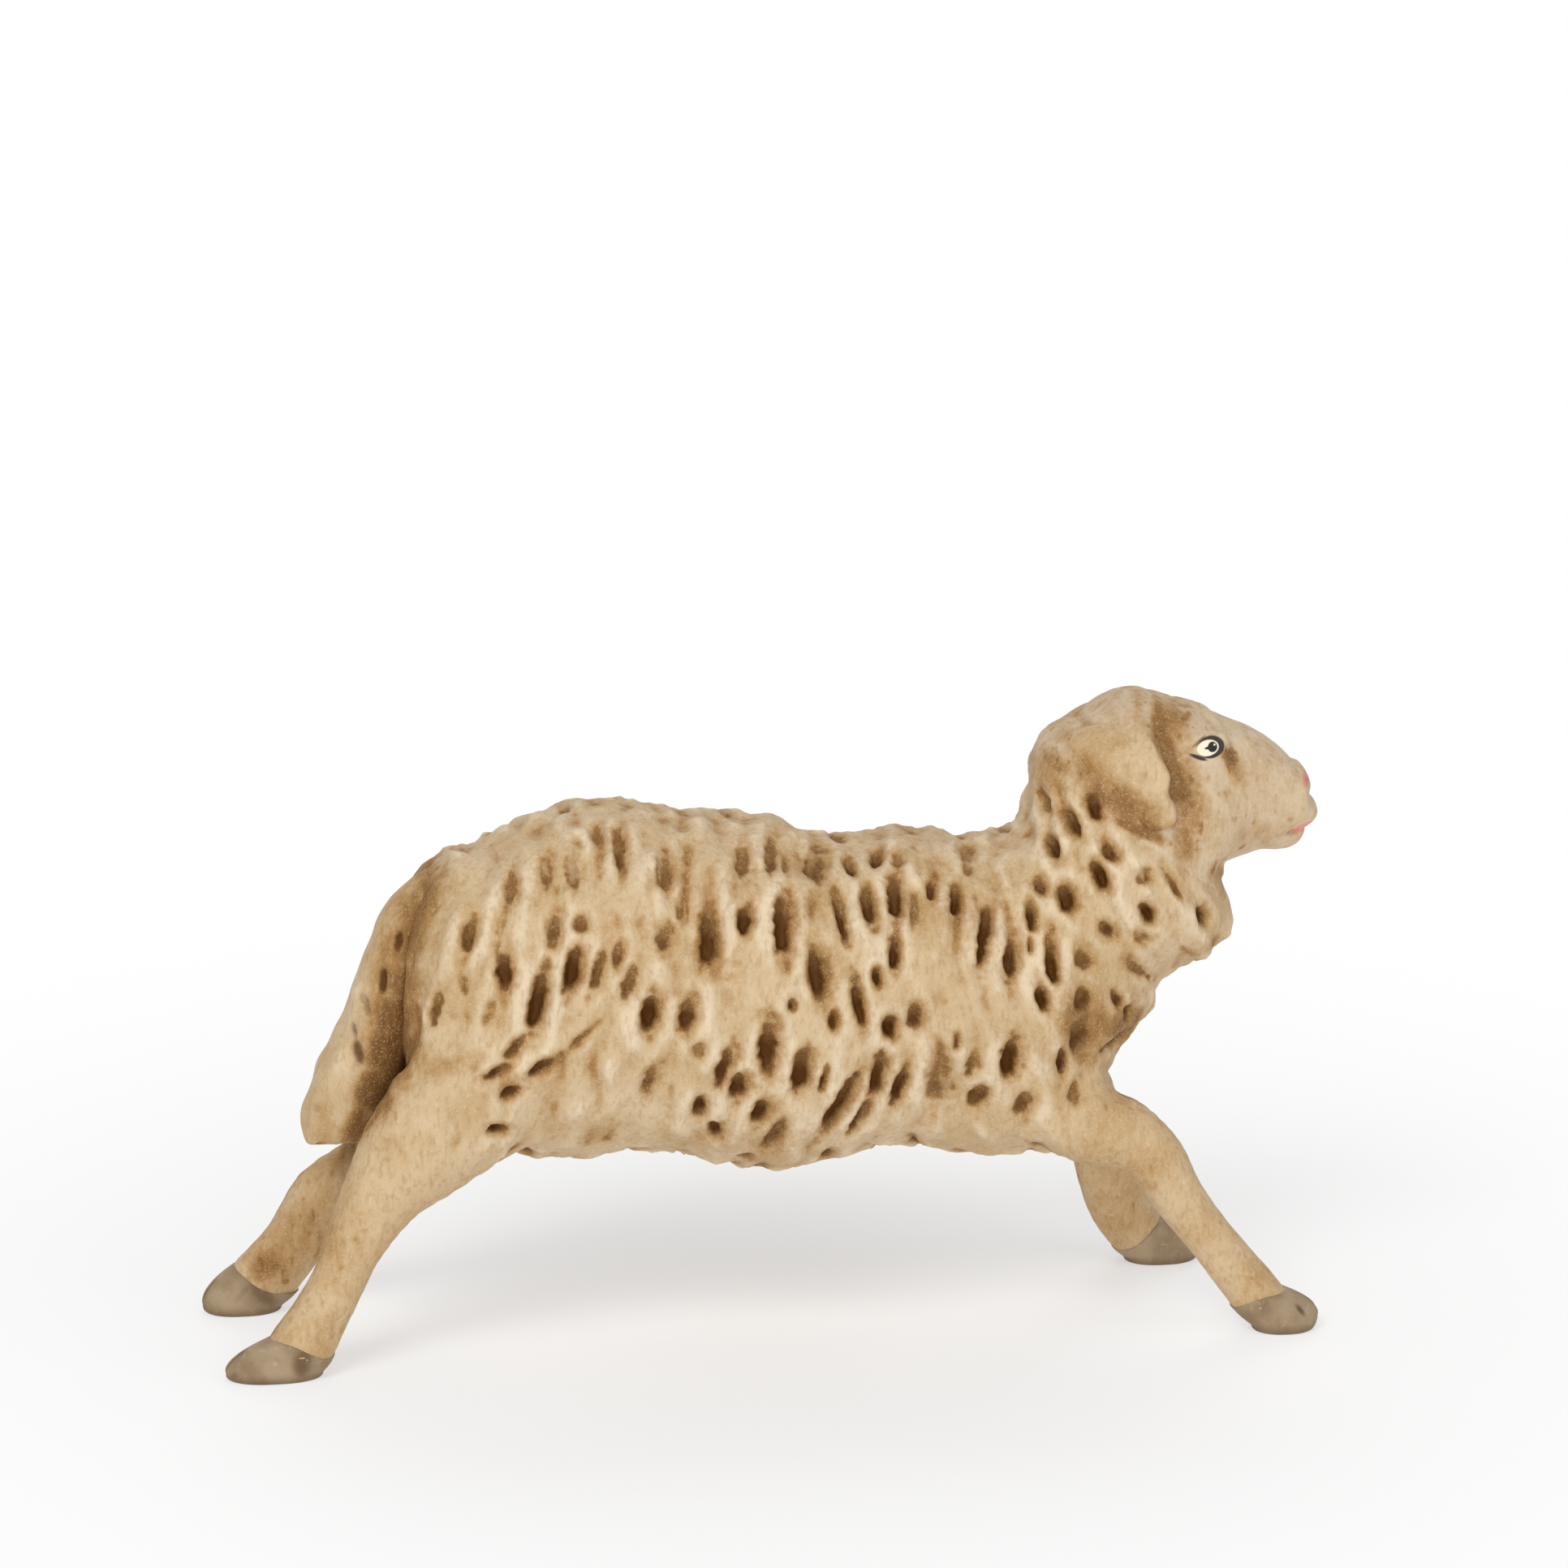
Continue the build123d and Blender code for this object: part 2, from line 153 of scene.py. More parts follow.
# The neck runs up and forward; its length, nape and throat are counted along that slope.
neck = {
    "foot": (22.0, 33.0),
    "slope": (0.627, 0.779),
    "stations": [0, 6, 10, 13.5, 16, 18, 20, 22, 24.5],
    "top": [13, 11.2, 9.9, 8.7, 7.8, 8.1, 9.1, 10.3, 10.9],
    "bottom": [-12.3, -14.1, -14.3, -13.3, -14.5, -15.8, -16.0, -15.2, -11.9],
    "halfWidth": [11.5, 10.8, 10.2, 9.8, 9.8, 10.1, 10.0, 9.3, 8.2],
    "startCap": 8.0,
    "endCap": 2.5,
    "power": 2.2,
}

head = {
    "stations": [32, 35, 38, 41, 44, 47, 50, 52.5, 54],
    "top": [61.2, 63.5, 64.1, 63.3, 62.2, 60.9, 59.5, 57.7, 56.2],
    "bottom": [50, 48, 46.8, 46.0, 45.8, 46.3, 47.2, 47.8, 48.9],
    "halfWidth": [6.6, 7.4, 7.7, 7.4, 6.7, 5.7, 4.8, 4.2, 3.9],
    "startCap": 4.2,
    "endCap": 1.5,
    "power": 2.3,
    "seam": ((37.1, 0.0, 50.9), (0.602, 0.0, 0.799)),
    # centre, radii and blend width of each swelling; the second one of a pair is mirrored
    "swellings": [
        ((42.5, 4.4, 51.2), (5.2, 2.9, 4.8), 2.0),
        ((44.2, 5.0, 59.3), (2.2, 1.4, 1.7), 1.0),
        ((54.1, 1.2, 54.1), (1.25, 1.5, 1.1), 0.8),
        ((54.7, 1.0, 51.4), (1.55, 2.4, 1.6), 0.6),
        ((52.5, 0.8, 49.1), (2.4, 2.0, 1.7), 0.8),
    ],
}

# Each leg runs from inside the body to the hoof: x, y, z, half depth and half width.
legs = {
    "fore_leg_right": {
        "rows": [(23.5, -6, 27.2, 6.3, 4.8), (32.0, -8.0, 21.8, 4.2, 3.9), (35.7, -8.5, 20.4, 3.55, 3.2),
                 (38.7, -9, 17.9, 3.05, 2.9), (41.3, -9.5, 13.7, 2.55, 2.45), (44.7, -10, 9.1, 2.4, 2.35),
                 (48.9, -10.9, 3.7, 2.65, 2.5), (49.9, -11.1, 2.2, 2.7, 2.5)],
        "blend": 2.0,
        "hoof": {"node": "fore_hoof_right", "centre": (48.9, -10.9, 3.7), "lean": (0.292, 0.0, -0.956),
                 "sole": 51.9, "length": 6.8, "toe": 1.0, "toeHeight": 1.2},
    },
    "fore_leg_left": {
        "rows": [(23.5, 6, 27.5, 6.5, 4.8), (32.9, 8, 20.9, 4.0, 3.9), (35.9, 9, 15.8, 3.1, 3.0),
                 (37.4, 9.7, 10.5, 3.1, 2.6), (39.1, 10.4, 6.2, 3.2, 2.55), (41.1, 10.9, 3.0, 2.9, 2.5),
                 (42.0, 11.0, 1.9, 2.8, 2.5)],
        "blend": 2.0,
        "hoof": {"node": "fore_hoof_left", "centre": (41.1, 10.9, 3.0), "lean": (0.5, 0.0, -0.866),
                 "sole": 43.6, "length": 8.0, "toe": 1.0, "toeHeight": 0.6},
    },
    "hind_leg_right": {
        "rows": [(-24.2, -6.6, 32.0, 8.4, 5.4), (-33.7, -8.1, 23.5, 6.1, 4.7),
                 (-38.1, -8.6, 18.7, 4.2, 3.8), (-41.5, -9.2, 13.1, 2.95, 2.8),
                 (-43.7, -9.8, 8.4, 2.7, 2.45), (-46.9, -10.6, 3.25, 3.2, 2.6),
                 (-47.6, -10.8, 2.1, 3.2, 2.6)],
        "blend": 1.8,
        "hoof": {"node": "hind_hoof_right", "centre": (-46.9, -10.6, 3.25), "lean": (-0.292, 0.0, -0.956),
                 "sole": -49.8, "length": 9.8, "toe": -1.0, "toeHeight": 0.15},
    },
    "hind_leg_left": {
        "rows": [(-24.2, 6.0, 32.3, 8.0, 5.4), (-33.2, 7.0, 23.1, 5.0, 4.6), (-37.9, 7.5, 16.3, 3.3, 3.5),
                 (-43.1, 8.0, 12.0, 3.5, 2.75), (-46.3, 8.6, 7.1, 3.15, 2.5), (-49.5, 8.9, 3.1, 3.4, 2.6),
                 (-50.1, 9.0, 1.9, 3.5, 2.6)],
        "blend": 1.8,
        "hoof": {"node": "hind_hoof_left", "centre": (-49.5, 8.9, 3.1), "lean": (-0.407, 0.0, -0.914),
                 "sole": -51.8, "length": 8.2, "toe": -1.0, "toeHeight": 0.3},
    },
}
for leg in legs.values():
    leg["dense"] = denseRows(leg["rows"], 4)


def neckPlace(points):
    # Length along the neck's slope and height across it.
    dx = points[:, 0] - neck["foot"][0]
    dz = points[:, 2] - neck["foot"][1]
    along = dx * neck["slope"][0] + dz * neck["slope"][1]
    up = dz * neck["slope"][0] - dx * neck["slope"][1]
    return along, up


def headField(points):
    folded = foldedOver(points)
    found = barrel(points[:, 0], points[:, 2], points[:, 1], head)
    for centre, radii, blend in head["swellings"]:
        found = softUnion(found, ellipsoid(folded, centre, radii), blend)
    return found


def sheepField(points):
    body = barrel(points[:, 0], points[:, 2], points[:, 1], torso)
    along, up = neckPlace(points)
    body = softUnion(body, barrel(along, up, points[:, 1], neck), 4.0)
    for leg in legs.values():
        body = softUnion(body, limb(points, leg["dense"]), leg["blend"])
    return softUnion(body, headField(points), 1.5)


def fieldSlope(points, step=0.05):
    # The change of distance over a small step both ways along each axis.
    slope = np.empty_like(points)
    for axis in range(3):
        move = np.zeros(3)
        move[axis] = step
        slope[:, axis] = (sheepField(points + move) - sheepField(points - move)) / (2 * step)
    return slope


def surfaceStep(points, slope, leastSquare=0.05):
    # The distance over the square of the slope, along the slope.
    return sheepField(points)[:, None] * slope / np.maximum((slope ** 2).sum(1, keepdims=True), leastSquare)


def ontoSurface(points, rounds, longest=0.5):
    for _ in range(rounds):
        points = points - np.clip(surfaceStep(points, fieldSlope(points)), -longest, longest)
    return points


def skinOfField(field, low, step):
    # One vertex in each cell that the surface crosses, one face across each crossed grid edge.
    counts = [n - 1 for n in field.shape]
    inside = field < 0
    total = np.zeros(counts + [3])
    number = np.zeros(counts)
    for axis in range(3):
        others = [a for a in range(3) if a != axis]
        for b in (0, 1):
            for c in (0, 1):
                start = [0, 0, 0]
                start[others[0]] = b
                start[others[1]] = c
                cut = tuple(slice(s, s + n) for s, n in zip(start, counts))
                ahead = list(start)
                ahead[axis] = 1
                far = tuple(slice(s, s + n) for s, n in zip(ahead, counts))
                crossed = inside[cut] != inside[far]
                change = np.where(crossed, field[cut] - field[far], 1.0)
                where = np.zeros(counts + [3])
                where[..., axis] = field[cut] / change
                where[..., others[0]] = b
                where[..., others[1]] = c
                total += where * crossed[..., None]
                number += crossed
    used = number > 0
    ids = np.full(counts, -1)
    ids[used] = np.arange(used.sum())
    points = low + step * (np.argwhere(used) + total[used] / number[used][:, None])
    faces = []
    for axis in range(3):
        one, two = (axis + 1) % 3, (axis + 2) % 3
        near = [slice(None)] * 3
        far = [slice(None)] * 3
        near[axis], far[axis] = slice(None, -1), slice(1, None)
        near, far = tuple(near), tuple(far)
        edge = np.argwhere(inside[near] != inside[far])
        outward = inside[near][tuple(edge.T)]
        corner = []
        for b, c in ((1, 1), (0, 1), (0, 0), (1, 0)):
            cell = edge.copy()
            cell[:, one] -= b
            cell[:, two] -= c
            corner.append(ids[tuple(cell.T)])
        quad = np.stack(corner, axis=1)
        quad[~outward] = quad[~outward][:, ::-1]
        faces.append(quad)
    return points, np.concatenate(faces)


def splitFaces(points, quads):
    # Each four-sided face becomes four, with new points at the edge middles and the face centre.
    count = len(points)
    ends = np.stack([quads, np.roll(quads, -1, axis=1)], axis=2)
    pairs = np.sort(ends.reshape(-1, 2), axis=1)
    edges, which = np.unique(pairs[:, 0] * count + pairs[:, 1], return_inverse=True)
    middles = (points[edges // count] + points[edges % count]) / 2
    centres = points[quads].mean(axis=1)
    side = count + which.reshape(-1, 4)
    centre = count + len(edges) + np.arange(len(quads))
    parts = [np.stack([quads[:, i], side[:, i], centre, side[:, i - 1]], axis=1) for i in range(4)]
    return np.concatenate([points, middles, centres]), np.concatenate(parts)


def pointNormals(points, quads):
    # The sum of the crossed diagonals of the faces round each point, made one long.
    across = np.cross(points[quads[:, 2]] - points[quads[:, 0]], points[quads[:, 3]] - points[quads[:, 1]])
    normals = np.zeros_like(points)
    for i in range(quads.shape[1]):
        for axis in range(3):
            normals[:, axis] += np.bincount(quads[:, i], across[:, axis], len(points))
    return normals / np.maximum(np.linalg.norm(normals, axis=1, keepdims=True), 1e-12)


# The field is read on a coarse grid first and finely only in the coarse cells near the surface.
gridStep = 0.5
finer = 4
low = np.array([-54.0, -16.0, -2.0])
coarseCount = np.array([57, 16, 35])
coarse = np.stack(np.meshgrid(*map(np.arange, coarseCount + 1), indexing="ij"), axis=-1)
coarse = low + finer * gridStep * coarse
coarse = sheepField(coarse.reshape(-1, 3)).reshape(coarseCount + 1) < 0
some = np.zeros(coarseCount, bool)
every = np.ones(coarseCount, bool)
for corner in np.ndindex(2, 2, 2):
    cut = coarse[tuple(slice(c, c + n) for c, n in zip(corner, coarseCount))]
    some |= cut
    every &= cut
mixedCells = np.pad(some & ~every, 1)
wide = np.zeros(coarseCount, bool)
for corner in np.ndindex(3, 3, 3):
    wide |= mixedCells[tuple(slice(c, c + n) for c, n in zip(corner, coarseCount))]
block = np.ones((finer, finer, finer), bool)
farAway = 9.0
needed = np.kron(wide, block)
values = np.where(np.kron(every, block), -farAway, farAway)
where = np.argwhere(needed)
values[tuple(where.T)] = sheepField(low + gridStep * where)
skin, skinFaces = skinOfField(values, low, gridStep)
skin = ontoSurface(skin, 2)
slope = fieldSlope(skin)
both, skinFaces = splitFaces(np.hstack([skin, slope]), skinFaces)
skin, slope = both[:, :3], both[:, 3:]
skin = skin - surfaceStep(skin, slope)
skinNormals = pointNormals(skin, skinFaces)
print("body surface", len(skin), "points", len(skinFaces), "faces")


pitch, yaw = math.radians(view["pitch"]), math.radians(view["yaw"])
viewAhead = np.array([-math.sin(yaw) * math.cos(pitch), math.cos(yaw) * math.cos(pitch), -math.sin(pitch)])
viewRight = np.array([math.cos(yaw), math.sin(yaw), 0.0])
viewUp = np.cross(viewRight, viewAhead)


def viewRays(pixels):
    # The direction from the view's place through each pixel.
    off = (np.asarray(pixels, float) - view["framePixels"] / 2) / view["focalPixels"]
    rays = viewAhead + off[:, :1] * viewRight - off[:, 1:] * viewUp
    return rays / np.linalg.norm(rays, axis=1, keepdims=True)


def seenPixels(points):
    # Where the view shows each point.
    offset = points - np.asarray(view["place"])
    across = np.stack([offset @ viewRight, -(offset @ viewUp)], axis=1) / (offset @ viewAhead)[:, None]
    return view["framePixels"] / 2 + view["focalPixels"] * across


sight = {"start": 590.0, "end": 720.0, "steps": 90, "stride": 0.7, "back": -2.0, "ahead": 4.0}


def seenPlace(pixels):
    # Walks along each line of sight until it meets the surface.
    rays = viewRays(pixels)
    travel = np.full(len(rays), sight["start"])
    for _ in range(sight["steps"]):
        gap = sheepField(np.asarray(view["place"]) + travel[:, None] * rays)
        travel = travel + np.clip(gap, sight["back"], sight["ahead"]) * sight["stride"]
    return np.asarray(view["place"]) + travel[:, None] * rays, travel < sight["end"]


def turnedOval(pixels, x, y, half, wide, lean):
    # How far out each pixel lies in a leaning oval: one on its edge.
    c, d = math.cos(math.radians(lean)), math.sin(math.radians(lean))
    off = pixels - np.array([x, y])
    return np.hypot((off[:, 0] * d - off[:, 1] * c) / half, (off[:, 0] * c + off[:, 1] * d) / wide)


noiseCells = 32


def valueNoise(points, seed):
    # Random values on a grid that repeats, blended smoothly between, from minus one to one.
    table = np.random.default_rng(seed).random((noiseCells,) * 3)
    base = np.floor(points).astype(int)
    f = points - base
    f = f * f * (3 - 2 * f)
    total = np.zeros(len(points))
    for i in (0, 1):
        for j in (0, 1):
            for k in (0, 1):
                share = np.abs(1 - i - f[:, 0]) * np.abs(1 - j - f[:, 1]) * np.abs(1 - k - f[:, 2])
                total += share * table[tuple(((base + (i, j, k)) % noiseCells).T)]
    return total * 2 - 1


# Tool pits that the view shows: place, length, width, lean from upright in degrees, darkness.
seenPits = [
    (577, 1152, 45, 20, 12, 0.6), (620, 1196, 54, 22, 0, 0.9), (680, 1145, 45, 20, 0, 0.5),
    (704, 1193, 62, 20, 12, 1.0), (737, 1196, 56, 15, 15, 0.6), (761, 1178, 36, 13, 10, 0.55),
    (775, 1211, 50, 20, 20, 0.5), (661, 1236, 75, 20, 12, 1.0), (635, 1290, 40, 14, 40, 0.6),
    (612, 1321, 40, 12, 65, 0.7), (668, 1316, 45, 14, 55, 0.75), (630, 1346, 28, 14, 65, 0.8),
    (614, 1393, 26, 14, 90, 0.9), (800, 1250, 48, 22, 8, 1.0), (846, 1253, 46, 20, 5, 0.85),
    (816, 1157, 40, 20, 0, 0.5), (873, 1160, 78, 22, -2, 0.95), (917, 1133, 34, 18, 0, 1.0),
    (818, 1071, 55, 24, 0, 0.45), (914, 1057, 46, 20, 0, 0.45), (950, 1053, 50, 20, 0, 0.5),
    (762, 1042, 56, 17, -5, 0.6), (736, 1025, 24, 12, 0, 0.35), (704, 1070, 56, 22, -8, 0.4),
    (672, 1074, 48, 18, -5, 0.4), (629, 1094, 42, 16, 5, 0.35), (891, 1318, 50, 20, 20, 0.85),
    (909, 1341, 34, 22, 20, 0.8), (947, 1291, 70, 24, 0, 0.9), (936, 1372, 34, 20, 25, 0.9),
    (861, 1366, 24, 16, 0, 0.8), (880, 1393, 20, 16, 0, 0.8), (916, 1427, 15, 14, 0, 0.8),
    (800, 1332, 36, 18, 20, 0.4), (861, 1295, 22, 16, 0, 0.3), (715, 1280, 45, 8, 45, 0.4),
    (537, 1243, 50, 16, 15, 0.5), (571, 1214, 25, 8, 0, 0.4), (964, 1139, 78, 22, 0, 0.95),
    (1007, 1200, 75, 20, -8, 0.95), (1036, 1129, 75, 10, -15, 0.9), (1059, 1239, 62, 13, -10, 1.0),
    (1027, 1259, 25, 10, 0, 0.9), (975, 1239, 14, 8, 0, 0.8), (1004, 1061, 50, 26, 0, 0.5),
    (1046, 1068, 24, 12, -20, 0.7), (1079, 1057, 24, 16, 0, 0.7), (1070, 1114, 50, 18, -10, 0.8),
    (1102, 1100, 56, 20, -5, 0.85), (1102, 1175, 46, 13, 0, 1.0), (1081, 1204, 28, 10, -15, 1.0),
    (1097, 1268, 30, 18, 0, 1.0), (1127, 1254, 36, 20, 0, 0.7), (1148, 1093, 30, 12, 0, 0.8),
    (1179, 1107, 44, 15, 0, 0.9), (1214, 1148, 95, 16, 8, 0.9), (1246, 1179, 48, 18, 3, 0.9),
    (1270, 1129, 36, 10, -5, 1.0), (1269, 1164, 20, 6, 0, 0.8), (1296, 1186, 62, 15, -8, 1.0),
    (1284, 1230, 30, 14, -15, 0.95), (1245, 1303, 54, 24, 8, 1.0), (1309, 1307, 45, 15, 0, 0.8),
    (1196, 1314, 30, 14, 15, 0.5), (1178, 1282, 24, 8, 0, 0.6), (1205, 1352, 34, 22, 30, 0.6),
    (1261, 1359, 42, 22, 30, 0.55), (1325, 1346, 36, 18, 15, 0.4), (1157, 1336, 50, 40, 0, 0.4),
    (987, 1321, 58, 24, 10, 0.9), (1014, 1332, 30, 6, 15, 0.9), (1036, 1361, 100, 18, 32, 0.9),
    (1082, 1325, 55, 20, 12, 0.9), (1060, 1376, 50, 10, 35, 0.7), (1109, 1339, 50, 16, 20, 0.85),
    (954, 1400, 40, 16, 35, 0.5), (954, 1430, 24, 22, 0, 0.5), (1296, 1043, 36, 18, -25, 0.9),
    (1314, 1107, 36, 20, -22, 1.0), (1280, 1090, 26, 14, -20, 0.6), (1318, 1014, 45, 18, -35, 0.75),
    (1347, 994, 32, 20, -25, 0.9), (1353, 1079, 40, 20, -28, 1.0), (1367, 1051, 28, 16, -38, 0.7),
    (1410, 1080, 24, 22, 0, 0.45), (1445, 1088, 50, 12, -35, 0.5), (1414, 1127, 28, 18, -25, 0.9),
    (1483, 1129, 24, 18, -15, 1.0), (1364, 1146, 26, 16, -32, 0.65), (1405, 1152, 26, 20, -25, 0.35),
    (1335, 1183, 36, 20, -30, 0.5), (1402, 1195, 50, 12, -55, 0.4), (1335, 1232, 36, 26, 0, 0.65),
    (1378, 1232, 24, 12, -25, 0.7), (1391, 1248, 22, 16, 0, 0.7), (1333, 1277, 46, 30, 0, 0.7),
    (1376, 1282, 50, 14, 50, 0.7), (1285, 985, 30, 20, -35, 0.4), (715, 1139, 22, 18, 0, 0.5),
    (838, 1118, 34, 12, 0, 0.4), (1124, 1120, 38, 7, 0, 0.35), (1192, 1060, 38, 16, -15, 0.3),
    (1106, 1058, 22, 18, 0, 0.35), (967, 1063, 26, 10, 0, 0.4), (600, 1250, 30, 10, 15, 0.3),
]

pixelsPerMillimetre = 12.3
pitForm = {
    "longest": 0.75,  # half length at most, as a share of the seen length
    "depth": 1.1,
    "fullWidth": 0.65,  # a narrower pit is shallower
    "ragged": 0.26,
    "upperLift": 0.45,
    "upperPale": 0.6,
    "shadeShift": 0.35,
    "grooveReach": 1.9,
    "grooveRoom": 0.25,
    "grooveRagged": 0.12,
    "grooveDepth": (0.15, 0.25),  # for any pit, and more with its darkness
    "stainAndShade": (0.2, 0.55),
}
pitRows = np.array(seenPits, float)
lean = np.radians(pitRows[:, 4])
halfSeen = np.stack([np.sin(lean), -np.cos(lean)], axis=1) * pitRows[:, 2:3] / 2
pitPlace, found = seenPlace(pitRows[:, :2])
pitTop, foundTop = seenPlace(pitRows[:, :2] + halfSeen)
pitFoot, foundFoot = seenPlace(pitRows[:, :2] - halfSeen)
good = found & foundTop & foundFoot
pitAxis = (pitTop - pitFoot)[good]
pitHalf = np.linalg.norm(pitAxis, axis=1) / 2
pitAxis = pitAxis / (2 * pitHalf[:, None])
pitHalf = np.minimum(pitHalf, pitRows[good, 2] / pixelsPerMillimetre * pitForm["longest"])
pitPlace = pitPlace[good]
pitWide = pitRows[good, 3] / pixelsPerMillimetre / 2
pitDark = pitRows[good, 5]
# The other side was pressed with the same tool in much the same places.
mirror = np.array([1.0, -1.0, 1.0])
farDark = np.clip(pitDark * rng.uniform(0.8, 1.2, len(pitDark)), 0.3, 1.0)
pits = [pitPlace, pitAxis, pitHalf, pitWide, pitDark]
farPits = [pitPlace * mirror, pitAxis * mirror, pitHalf, pitWide, farDark]
pits = [np.concatenate(both) for both in zip(pits, farPits)]
pitPlace = pits[0]
print("seen pits and their mirror images", len(pitPlace))

# How woolly each point is: the fleece ends softly at the leg roots and the head seam.
fleeceEdge = {"head": (-2.5, 1.5), "leg": (-4.0, 1.5), "legGap": (2.5, 0.8), "onLeg": 1.3}
headGap = (skin - np.array(head["seam"][0])) @ np.array(head["seam"][1])
woolly = 1 - smoothStep(*fleeceEdge["head"], headGap)
legShare = {}
for name, leg in legs.items():
    rows = np.array(leg["rows"])
    toFoot = rows[2, :3] - rows[0, :3]
    toFoot = toFoot / np.linalg.norm(toFoot)
    past = (skin - rows[1, :3]) @ toFoot
    legGap = limb(skin, leg["dense"])
    legShare[name] = (legGap < fleeceEdge["onLeg"]) & (past > 0)
    woolly *= 1 - smoothStep(*fleeceEdge["leg"], past) * smoothStep(*fleeceEdge["legGap"], legGap)

# More pits on the sides that the view doesn't show, in the same style: none nearer than a set gap.
spread = {
    "gap": 3.2,
    "tries": 1500,
    "level": 0.55,
    "unseen": 0.25,
    "woolly": 0.85,
    "backHeight": 46,
    "onBack": 0.35,
    "below": 0.7,
}
hidden = (np.abs(skinNormals[:, 2]) > spread["level"]) & (skinNormals @ -viewAhead < spread["unseen"])
hidden &= woolly > spread["woolly"]
candidates = rng.permutation(np.flatnonzero(hidden))[:spread["tries"]]
taken = list(pitPlace)
extra = []
for c in candidates:
    gaps = np.linalg.norm(np.array(taken) - skin[c], axis=1)
    if gaps.min() > spread["gap"] * (0.8 + 0.5 * rng.random()):
        taken.append(skin[c])
        extra.append(c)
extra = np.array(extra)
tilt = np.interp(skin[extra, 0], [-30, -10, 10, 25, 40], [14, 6, -4, -14, -28])
tilt = np.radians(tilt + rng.normal(0, 7, len(extra)))
upright = np.stack([np.sin(tilt), np.zeros(len(extra)), np.cos(tilt)], axis=1)
normal = skinNormals[extra]
axis = upright - (upright * normal).sum(1, keepdims=True) * normal
flatTop = np.linalg.norm(axis, axis=1) < 0.5
axis[flatTop] = np.cross(normal[flatTop], [1.0, 0.15, 0.0])
axis = axis / np.linalg.norm(axis, axis=1, keepdims=True)
strength = rng.choice([0.45, 0.7, 0.9, 1.0], len(extra), p=[0.3, 0.25, 0.25, 0.2])
onTop = skin[extra, 2] > spread["backHeight"]
strength = np.where(onTop, spread["onBack"] * strength, spread["below"] * strength)
extraHalf = rng.uniform(1.0, 2.6, len(extra))
extraWide = rng.uniform(0.5, 0.85, len(extra))
pits = [np.concatenate(both) for both in zip(pits, [skin[extra], axis, extraHalf, extraWide, strength])]
print("all pits", len(pits[0]))

# Each pit is a slot with steep walls in a wider shallow groove; its lower end is the darkest, and the brown
# stain round it is shifted towards the nose as painted shade on the side away from the light.
relief = np.zeros(len(skin))
groove = np.zeros(len(skin))
pit = np.zeros(len(skin))
stainAndShade = np.zeros(len(skin))
ragged = valueNoise(skin / 0.62 + 10, 9)
for place, direction, half, wide, dark in zip(*pits):
    near = np.flatnonzero(np.abs(skin - place).max(axis=1) < half * 2.2 + 2.0)
    offset = skin[near] - place
    along = offset @ direction / half
    off = np.linalg.norm(offset - half * along[:, None] * direction, axis=1) / wide
    r = np.hypot(np.abs(along) ** 1.3, off) + pitForm["ragged"] * ragged[near]
    # The groove and the stain sit off towards the nose; on the stain this is painted shade.
    runs = offset - np.array([pitForm["shadeShift"] * wide, 0.0, 0.0])
    reach = runs @ direction
    aside = np.linalg.norm(runs - reach[:, None] * direction, axis=1)
    aside = aside / (pitForm["grooveReach"] * wide + pitForm["grooveRoom"])
    shallow = np.hypot(reach / (pitForm["grooveReach"] * half), aside)
    shallow = shallow + pitForm["grooveRagged"] * ragged[near]
    upper = smoothStep(-0.4, 0.9, along)
    depth = pitForm["depth"] * dark ** 1.2 * min(1.0, wide / pitForm["fullWidth"])
    relief[near] -= depth * (1 - pitForm["upperLift"] * upper) * (1 - smoothStep(0.5, 1.12, r))
    least, more = pitForm["grooveDepth"]
    groove[near] = np.maximum(groove[near], (least + more * dark) * (1 - smoothStep(0.3, 1.0, shallow)))
    least, more = pitForm["stainAndShade"]
    stainAndShade[near] = np.maximum(stainAndShade[near], (least + more * dark) * (1 - smoothStep(0.3, 1.05, shallow)))
    core = dark * (1 - pitForm["upperPale"] * upper) * (1 - smoothStep(0.5, 1.15, r))
    pit[near] = np.maximum(pit[near], core)
relief -= groove

# Soft upright folds between the pits and small locks along the back: heights in millimetres.
wool = {"folds": 0.3, "crests": 0.26, "locks": 0.18, "grain": 0.06, "ribs": 0.34}
bare = {"locks": 0.06, "grain": 0.03}
bend = np.interp(skin[:, 0], [-35, -10, 15, 45], [0.3, 0.05, -0.1, -0.6])
warp = 0.8 * valueNoise(skin / 4.5 + 12, 14)
turned = np.stack([skin[:, 0] - bend * (skin[:, 2] - 35) + warp, skin[:, 1], skin[:, 2]], axis=1)
folds = valueNoise(turned / np.array([1.7, 3.0, 7.5]) + 40, 3)
crests = 1 - 2 * np.abs(valueNoise(turned / np.array([2.1, 3.4, 9.0]) + 35, 13))
locks = valueNoise(turned / np.array([1.2, 1.4, 2.4]) + 70, 4)
grain = valueNoise(skin / 0.7 + 90, 5)
ribs = valueNoise(skin / np.array([1.5, 4.5, 12.0]) + 25, 11)
blotches = valueNoise(skin / np.array([3.2, 3.2, 4.5]) + 60, 12)
onBack = smoothStep(43.0, 51.0, skin[:, 2])
relief += woolly * (wool["folds"] * folds + wool["crests"] * crests + wool["locks"] * locks
                    + wool["grain"] * grain + wool["ribs"] * onBack * ribs)
relief += (1 - woolly) * (bare["locks"] * locks + bare["grain"] * grain)
